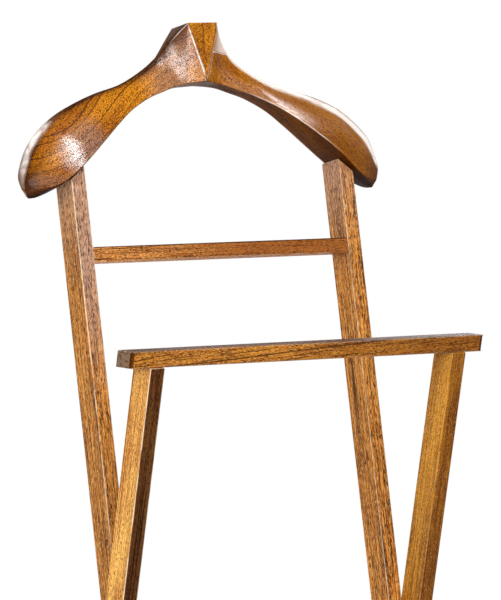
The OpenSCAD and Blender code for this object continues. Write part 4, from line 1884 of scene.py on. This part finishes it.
@dataclass
class TrouserFrame:
    """The frame that leans forward: legs, trouser bar and the rack's rod."""

    layout: StandLayout
    bar_wood: WoodFinish = WoodFinish(
        "trouser_bar_wood", GrainAxis((0.03, -0.06, 0), (0.012, 0.085, 1)), pale=srgb(222, 143, 42),
        deep=srgb(150, 80, 12), ring_width=6 * MM, years=((77.2, 0.8),), year_width=1.2 * MM,
        wobble=1.0 * MM, seed=21.0, wear_and_highlight=0.5, shine=0.015,
        # painted shade deepening the bar towards the right
        marks=(ShadeAndSheenDrift(-60 * MM, 200 * MM, srgb(112, 60, 14), lead=0.0),),
    )
    rod_wood: WoodFinish = WoodFinish(
        "rack_rod_wood", GrainAxis((0.02, 0.03, 0)), seed=25.0, ring_width=4 * MM)

    def build(self) -> list[Piece]:
        """Build the trouser frame's timbers.

        Returns:
            The dressed pieces.
        """
        bar = Timber(
            "trouser_bar", lengthwise(Matrix.Translation(middle_of("trouser_bar"))), self.bar_wood,
            Body.TROUSER, Slot.BAR_WOOD, end_round=5.5 * MM, end_wear_and_sheen=0.35,
            # tones darken the top, the left end and the underside, and dark_ways the front corners: painted
            # shade
            tones=Tones(front=0.85, top=0.2, left=0.24, under=0.5),
            worn_way=(-0.7, 0, 0.7), dark_ways=((-0.7, -0.7, 0), (0.5, -0.87, 0)),
        )
        rod = Timber("rack_rod", lengthwise(Matrix.Translation(self.layout.rod)), self.rod_wood, Body.TROUSER)
        return [*(self._leg(side) for side in Side), bar.build(), rod.build()]

    def _leg(self, side: Side) -> Piece:
        """Build one leg: the left pale, its arrises pale with wear and painted highlight, the right darker
        and smoother.

        Args:
            side: Its side.

        Returns:
            The dressed leg.
        """
        wood = WoodFinish(
            side.word + "_leg_wood", GrainAxis((side.value * 0.03, -0.07, 0), (-0.004, 0.01, 1)),
            pale=srgb(250, 188, 94), deep=srgb(176, 98, 28), pore=srgb(112, 56, 14), pore_depth=0.95,
            streak_line=0.85, streak_width=1.2 * MM, wear_and_highlight=1.0, seed=14.0 + side.value,
        )
        # tones make the fronts darker and the left faces lighter, a painted light
        tones = Tones(front=0.1, left=1.25)
        if side is Side.RIGHT:
            wood = replace(
                wood, pale=srgb(212, 144, 44), deep=srgb(136, 78, 14), pore=srgb(84, 44, 8), pore_depth=0.55,
                # worn: the arrises' pale wear and painted highlight
                fleck_depth=0.4, streak_line=0.5, dark_green=1.3, dark_blue=1.7, worn=srgb(222, 166, 96),
                wear_and_highlight=0.4,
            )
            tones = Tones(front=0.62, left=1.12)
        mid = self.layout.leg_outer - self.layout.stile_thick / 2
        place = self.layout.trouser_place(side.value * mid)
        return Timber(side.word + "_leg", place, wood, Body.TROUSER, tones=tones).build()


@dataclass
class ShoeRack:
    """The slatted rack that hangs on the rod and hooks over the stretcher."""

    layout: StandLayout
    slat_count: int = 5
    slat_ease: float = 0.9 * MM

    def build(self) -> list[Piece]:
        """Build the rack's rails and slats.

        Returns:
            The dressed pieces.
        """
        pieces = []
        turn = Matrix.Rotation(math.pi / 2, 4, "X")
        for side in Side:
            node = side.word + "_rack_rail"
            grain = GrainAxis((0.02, 0.05, 0), (0.01, 0.01, 1))
            wood = WoodFinish(node + "_wood", grain, seed=30.0 + side.value)
            place = Matrix.Translation(middle_of(node)) @ turn
            pieces.append(Timber(node, place, wood, Body.RACK).build())
        for k in range(1, self.slat_count + 1):
            node = f"rack_slat_{k}"
            grain = GrainAxis((0.01 * k, -0.06, 0), (0.008, 0.004 * k, 1))
            wood = WoodFinish(node + "_wood", grain, seed=33.0 + k)
            place = lengthwise(Matrix.Translation(middle_of(node)))
            pieces.append(Timber(node, place, wood, Body.RACK, ease=self.slat_ease).build())
        return pieces


@dataclass
class Fixings:
    """Bolts, nuts, washers, screws, dowels and glides, each turned over its CAD solid.

    glide_foot is in shares of the glide's radius and of glide_high. screw_root, cross_long and
    flute_deep are shares of the radius beside them. screw_tip is a share of the shank and a
    height, and washer_ease a share of the thickness and its most.
    """

    layout: StandLayout
    bolt_radius: float = 3.0 * MM
    bolt_chamfer: float = 0.6 * MM
    head_high: float = 3.5 * MM
    head_band: float = 0.7 * MM
    head_chamfer: float = 0.2 * MM
    slot_wide: float = 1.4 * MM
    slot_deep: float = 1.4 * MM
    bore_radius: float = 3.1 * MM
    bore_high: float = 7.0 * MM
    nut_radius: float = 5.5 * MM
    nut_high: float = 5.0 * MM
    nut_chamfer: float = 0.45 * MM
    dome_inset: float = 0.15 * MM
    screw_shank: float = 1.5 * MM
    screw_root: float = 0.75
    screw_tip: Pair = (0.7, 2 * MM)
    thread_start: float = 2.6 * MM
    thread_pitch: float = 1.2 * MM
    thread_rise: float = 0.6 * MM
    thread_turns: int = 10
    thread_end: float = 15 * MM
    screw_steps: int = 32
    cross_long: float = 0.62
    cross_half: float = 0.35 * MM
    cross_deep: float = 1.2 * MM
    rim_band: float = 0.1 * MM
    washer_ease: Pair = (0.25, 0.3 * MM)
    nail_radius: float = 1.2 * MM
    nail_point: float = 1.6 * MM
    glide_high: float = 3.0 * MM
    glide_foot: Stops = (
        (0, 0.3), (0.27, 0.3), (0.32, 0.08), (0.39, 0), (0.83, 0), (0.95, 0.12), (1, 0.4), (1, 0.85),
        (0.96, 1),
    )
    flutes: int = 12
    flute_deep: float = 0.05
    dowel_chamfer: float = 0.7 * MM
    plain_marks: Triple = (0.0, 1.0, 0.3)
    brass: MetalFinish = MetalFinish("bolt_brass_aged", srgb(196, 160, 98), srgb(120, 88, 48))
    screw_brass: MetalFinish = MetalFinish(
        "screw_brass_bright", srgb(214, 184, 118), srgb(150, 116, 64), 0.25)
    fibre: MouldedFinish = MouldedFinish(
        "washer_fibre_pressed", srgb(226, 220, 204), srgb(196, 188, 168), 0.6 * MM, 0.7)
    plastic: MouldedFinish = MouldedFinish(
        "glide_plastic_brown", srgb(72, 52, 40), srgb(46, 32, 24), 0.4 * MM, 0.5)
    beech: WoodFinish = WoodFinish(
        "dowel_beech", GrainAxis((0.02, 0.02, 0)), pale=srgb(226, 196, 150), deep=srgb(204, 168, 118),
        pore_depth=0.2, ring_depth=0.2, streak_line=0.0, rough=0.6, coat=0.0, seed=41.0,
    )

    def build(self) -> list[Piece]:
        """Build the fixings.

        Returns:
            The dressed pieces.
        """
        brass, screw_brass = self.brass.material(), self.screw_brass.material()
        fibre, plastic = self.fibre.material(), self.plastic.material()
        pieces = []
        for side in Side:
            out = Matrix.Translation(self.layout.pivot + Vector((side.value * self.layout.leg_outer, 0, 0)))
            inward = out @ Matrix.Rotation(-side.value * math.pi / 2, 4, "Y")
            for kind, make in (("pivot_bolt", self._bolt), ("cap_nut", self._nut)):
                node = f"{side.word}_{kind}"
                pieces.append(self._set_out(node, inward, make, brass, Body.TROUSER, Slot.BOLT_BRASS))
        at_pivot = lengthwise(Matrix.Translation(self.layout.pivot))
        rod, level = Matrix.Translation(self.layout.rod), Matrix.Identity(4)
        for row in (
            ("spacer_washers", at_pivot, self._washer, fibre, Body.TROUSER, Slot.WASHER_FIBRE),
            ("nut_washers", at_pivot, self._washer, brass, Body.TROUSER, Slot.BOLT_BRASS),
            ("rack_screws", rod, self._screw, screw_brass, Body.RACK, Slot.SCREW_BRASS),
            ("coat_frame_glides", level, self._glide, plastic, Body.COAT, Slot.GLIDE_PLASTIC),
            ("trouser_frame_glides", level, self._glide, plastic, Body.TROUSER, Slot.GLIDE_PLASTIC),
        ):
            pieces.append(self._set_out(*row))
        coat, trouser = self.layout.coat_place(), self.layout.trouser_place()
        for name, place, body in (
            ("hanger", coat, Body.COAT),
            ("crossbar", lengthwise(coat), Body.COAT),
            ("stretcher", lengthwise(coat), Body.COAT),
            ("bar", trouser, Body.TROUSER),
        ):
            beech = replace(self.beech, name=name + "_dowel_beech").material(place)
            pieces.append(self._set_out(name + "_dowels", place, self._dowel, beech, body, Slot.DOWEL_WOOD))
        return pieces

    def _set_out(
        self, node: str, place: Matrix, make: Callable[[Vector], BMesh],
        finish: Material, body: Body, slot: Slot,
    ) -> Piece:
        """Make one fixing for each solid of a node, and dress them as one piece.

        Args:
            node: The node.
            place: The frame whose Z is the fixings' axis.
            make: What makes a fixing of a given size, standing on Z = 0 round the axis.
            finish: Their material.
            body: The body that they move with.
            slot: The record's material slot.

        Returns:
            The dressed piece.
        """
        whole = bmesh.new()
        for low, high in solids_of(node, place):
            middle = (low + high) / 2
            part = make(high - low)
            part.transform(Matrix.Translation((middle.x, middle.y, low.z)))
            mesh = to_mesh(part, node)
            whole.from_mesh(mesh)
            bpy.data.meshes.remove(mesh)
        mesh = to_mesh(whole, node + "_turned")
        mesh.transform(place)
        shade_smooth(mesh)
        for name, value in zip((ARRIS, TONE, GLOSS), self.plain_marks):
            number(mesh, name, [value] * len(mesh.vertices))
        return dress(linked(node + "_turned", mesh), finish, body, slot, node)

    def _bolt(self, size: Vector) -> BMesh:
        """A bolt with a slotted, domed head at Z = 0 and a chamfered end.

        Args:
            size: The bolt's size, with its length in Z.

        Returns:
            The bolt.
        """
        head, long, half = size.x / 2, size.z, self.slot_wide / 2
        profile = arc(head, 0.0, self.head_high - self.head_band) + [
            (head, self.head_high - self.head_chamfer), (head - self.head_chamfer, self.head_high),
            (self.bolt_radius, self.head_high), (self.bolt_radius, long - self.bolt_chamfer),
            (self.bolt_radius - self.bolt_chamfer, long), (0, long),
        ]
        slot = (Vector((-head, -half, -MM)), Vector((head, half, self.slot_deep)))
        return cut_slots(lathe(profile), [slot])

    def _nut(self, size: Vector) -> BMesh:
        """A cap nut: a chamfered hexagon under a dome, bored for the bolt.

        Args:
            size: The nut's size, with its height in Z.

        Returns:
            The nut.
        """
        flat = self.nut_radius * math.cos(math.pi / 6)

        def hexagon(turn: float, height: float) -> float:
            """The hexagon's reach at an angle, below the dome."""
            across = turn % (math.pi / 3) - math.pi / 6
            return flat / math.cos(across) if height <= self.nut_high else self.nut_radius

        dome = reversed(arc(flat - self.dome_inset, self.nut_high, size.z - self.nut_high))
        profile = [
            (0, self.bore_high), (self.bore_radius, self.bore_high), (self.bore_radius, 0), (flat, 0),
            (self.nut_radius, self.nut_chamfer), (self.nut_radius, self.nut_high - self.nut_chamfer),
            (flat, self.nut_high), *((r, size.z - (z - self.nut_high)) for r, z in dome),
        ]
        return lathe(profile, trim=hexagon)

    def _washer(self, size: Vector) -> BMesh:
        """A flat washer with eased rims.

        Args:
            size: The washer's size, with its thickness in Z.

        Returns:
            The washer.
        """
        rim, thick = size.x / 2, size.z
        ease = min(self.washer_ease[0] * thick, self.washer_ease[1])
        return lathe([
            (self.bore_radius, 0), (rim - ease, 0), (rim, ease), (rim, thick - ease), (rim - ease, thick),
            (self.bore_radius, thick), (self.bore_radius, 0),
        ])

    def _screw(self, size: Vector) -> BMesh:
        """A countersunk screw with its point at Z = 0, a thread and a cross recess.

        Args:
            size: The screw's size, with its length in Z.

        Returns:
            The screw.
        """
        head, long, shank = size.x / 2, size.z, self.screw_shank
        profile = [(0, 0), (self.screw_tip[0] * shank, self.screw_tip[1])]
        for k in range(self.thread_turns):
            crest = self.thread_start + self.thread_pitch * k
            profile += [(shank, crest), (self.screw_root * shank, crest + self.thread_rise)]
        profile += [
            (shank, self.thread_end), (shank, long - (head - shank)),
            (head - self.rim_band, long - self.rim_band), (head - 2 * self.rim_band, long), (0, long),
        ]
        arm, half = self.cross_long * head, self.cross_half
        low, high = long - self.cross_deep, long + MM
        return cut_slots(lathe(profile, self.screw_steps), [
            (Vector((-arm, -half, low)), Vector((arm, half, high))),
            (Vector((-half, -arm, low)), Vector((half, arm, high))),
        ])

    def _glide(self, size: Vector) -> BMesh:
        """A nail-on glide: a rounded foot, hollow round the nail's head, and the nail.

        Args:
            size: The glide's size, with its height in Z.

        Returns:
            The glide.
        """
        foot = [(share * size.x / 2, up * self.glide_high) for share, up in self.glide_foot]
        nail = [(self.nail_radius, self.glide_high), (self.nail_radius, size.z - self.nail_point)]
        return lathe([*foot, *nail, (0, size.z)])

    def _dowel(self, size: Vector) -> BMesh:
        """A fluted pin with chamfered ends.

        Args:
            size: The dowel's size, with its length in Z.

        Returns:
            The dowel.
        """
        radius, long, end = min(size.x, size.y) / 2, size.z, self.dowel_chamfer

        def fluted(turn: float, height: float) -> float:
            """The flutes' reach at an angle, the same at every height."""
            half = self.flute_deep / 2
            return radius * (1 - half + half * math.cos(self.flutes * turn))

        profile = [(0, 0), (radius - end, 0), (radius, end)]
        profile += [(radius, long - end), (radius - end, long), (0, long)]
        return lathe(profile, 6 * self.flutes, fluted)


# ---------------------------------------------------------------- studio


@dataclass(frozen=True)
class Lamp:
    """One soft box lamp, upright to its aim."""

    name: str
    place: Triple
    aim: Triple
    size: Pair
    watts: float

    def build(self) -> None:
        """Hang the lamp and turn it to what it lights."""
        light = bpy.data.lights.new(self.name, "AREA")
        light.shape = "RECTANGLE"
        light.size, light.size_y = self.size
        light.energy = self.watts
        holder = linked(self.name, light)
        holder.location = self.place
        holder.rotation_euler = (Vector(self.aim) - Vector(self.place)).to_track_quat("-Z", "Y").to_euler()


@dataclass
class Studio:
    """A pale floor, a white surround, soft lamps and the camera."""

    floor_radius: float = 2.4
    floor_colour: Colour = (0.8, 0.8, 0.8, 1.0)
    floor_cloud: Colour = (0.776, 0.776, 0.776, 1.0)
    fill: float = 0.2
    camera_place: Triple = (-3.047755, -4.871804, 1.262025)
    camera_yaw: float = 32.02231
    camera_pitch: float = -4.474537
    camera_roll: float = 0.255325
    lens: float = 330.0
    sensor: float = 36.0
    lamps: tuple[Lamp, ...] = (
        Lamp("front_high", (-0.54, -1.36, 2.8), (-0.13, 0, 0.95), (0.62, 1.35), 34),
        Lamp("front_low", (-1.6, -2.8, 1.65), (0, 0, 0.95), (2.3, 1.7), 76),
        Lamp("left_side", (-2.5, 0.3, 1.3), (0, 0, 0.75), (1.0, 1.0), 16),
        Lamp("right_high", (1.9, 0.0, 2.7), (0.1, 0.1, 1.0), (0.6, 0.6), 16),
        Lamp("back_right", (2.1, 1.9, 1.9), (0, 0.1, 0.9), (1.0, 1.0), 36),
    )

    def build(self) -> None:
        """Build the floor, the surround, the lamps and the camera."""
        self._floor()
        self._surround()
        for lamp in self.lamps:
            lamp.build()
        self._camera()
        bpy.context.scene.view_settings.view_transform = "Standard"

    def _floor(self) -> None:
        """A round pale floor with a faint mottle."""
        shape = bmesh.new()
        bmesh.ops.create_circle(shape, cap_ends=True, segments=96, radius=self.floor_radius)
        floor = linked("floor", to_mesh(shape, "floor"))
        graph = ShaderGraph.of_material("floor_pale")
        cloud = graph.noise(graph.stand_point(), 3.0, 2.0)
        colour = graph.blend(cloud, self.floor_colour, self.floor_cloud)
        floor.data.materials.append(graph.surface({"Base Color": colour, "Roughness": 0.7}))

    def _surround(self) -> None:
        """White where it is seen, straight or in gloss and glass, and soft where it lights."""
        world = bpy.data.worlds.new("surround")
        bpy.context.scene.world = world
        graph = ShaderGraph(world)
        seen = graph.wire("LightPath", "Is Camera Ray")
        for ray in ("Is Glossy Ray", "Is Transmission Ray"):
            seen = graph.math("MAXIMUM", seen, graph.wire("LightPath", ray))
        strength = graph.wire("MapRange", "Result", {"Value": seen, "To Min": self.fill, "To Max": 1.0})
        glow = graph.wire("Background", 0, {"Color": (1, 1, 1, 1), "Strength": strength})
        graph.node("OutputWorld", {"Surface": glow})

    def _camera(self) -> None:
        """Set the camera where the photograph was taken from, with the same long lens."""
        yaw, pitch, roll = (math.radians(a) for a in (self.camera_yaw, self.camera_pitch, self.camera_roll))
        ahead = Vector((math.sin(yaw) * math.cos(pitch), math.cos(yaw) * math.cos(pitch), math.sin(pitch)))
        right = Vector((math.cos(yaw), -math.sin(yaw), 0))
        up = right.cross(ahead)
        across = right * math.cos(roll) + up * math.sin(roll)
        upward = up * math.cos(roll) - right * math.sin(roll)
        turn = Matrix((across, upward, -ahead)).transposed().to_4x4()
        data = bpy.data.cameras.new("camera")
        data.lens = self.lens
        data.sensor_width = self.sensor
        camera = linked("camera", data)
        camera.matrix_world = Matrix.Translation(self.camera_place) @ turn
        bpy.context.scene.camera = camera


def main() -> None:
    """Build the studio and every sub-assembly in order."""
    logging.basicConfig(level=logging.INFO, format="%(name)s: %(message)s")
    layout = StandLayout.of_frame()
    LOG.info("pivot at %s, lean %.2f degrees", tuple(layout.pivot), math.degrees(layout.lean))
    Studio().build()
    for assembly in (CoatFrame(layout), TrouserFrame(layout), ShoeRack(layout), Fixings(layout)):
        pieces = assembly.build()
        LOG.info("%s: %d pieces", type(assembly).__name__, len(pieces))


if __name__ == "__main__":
    main()
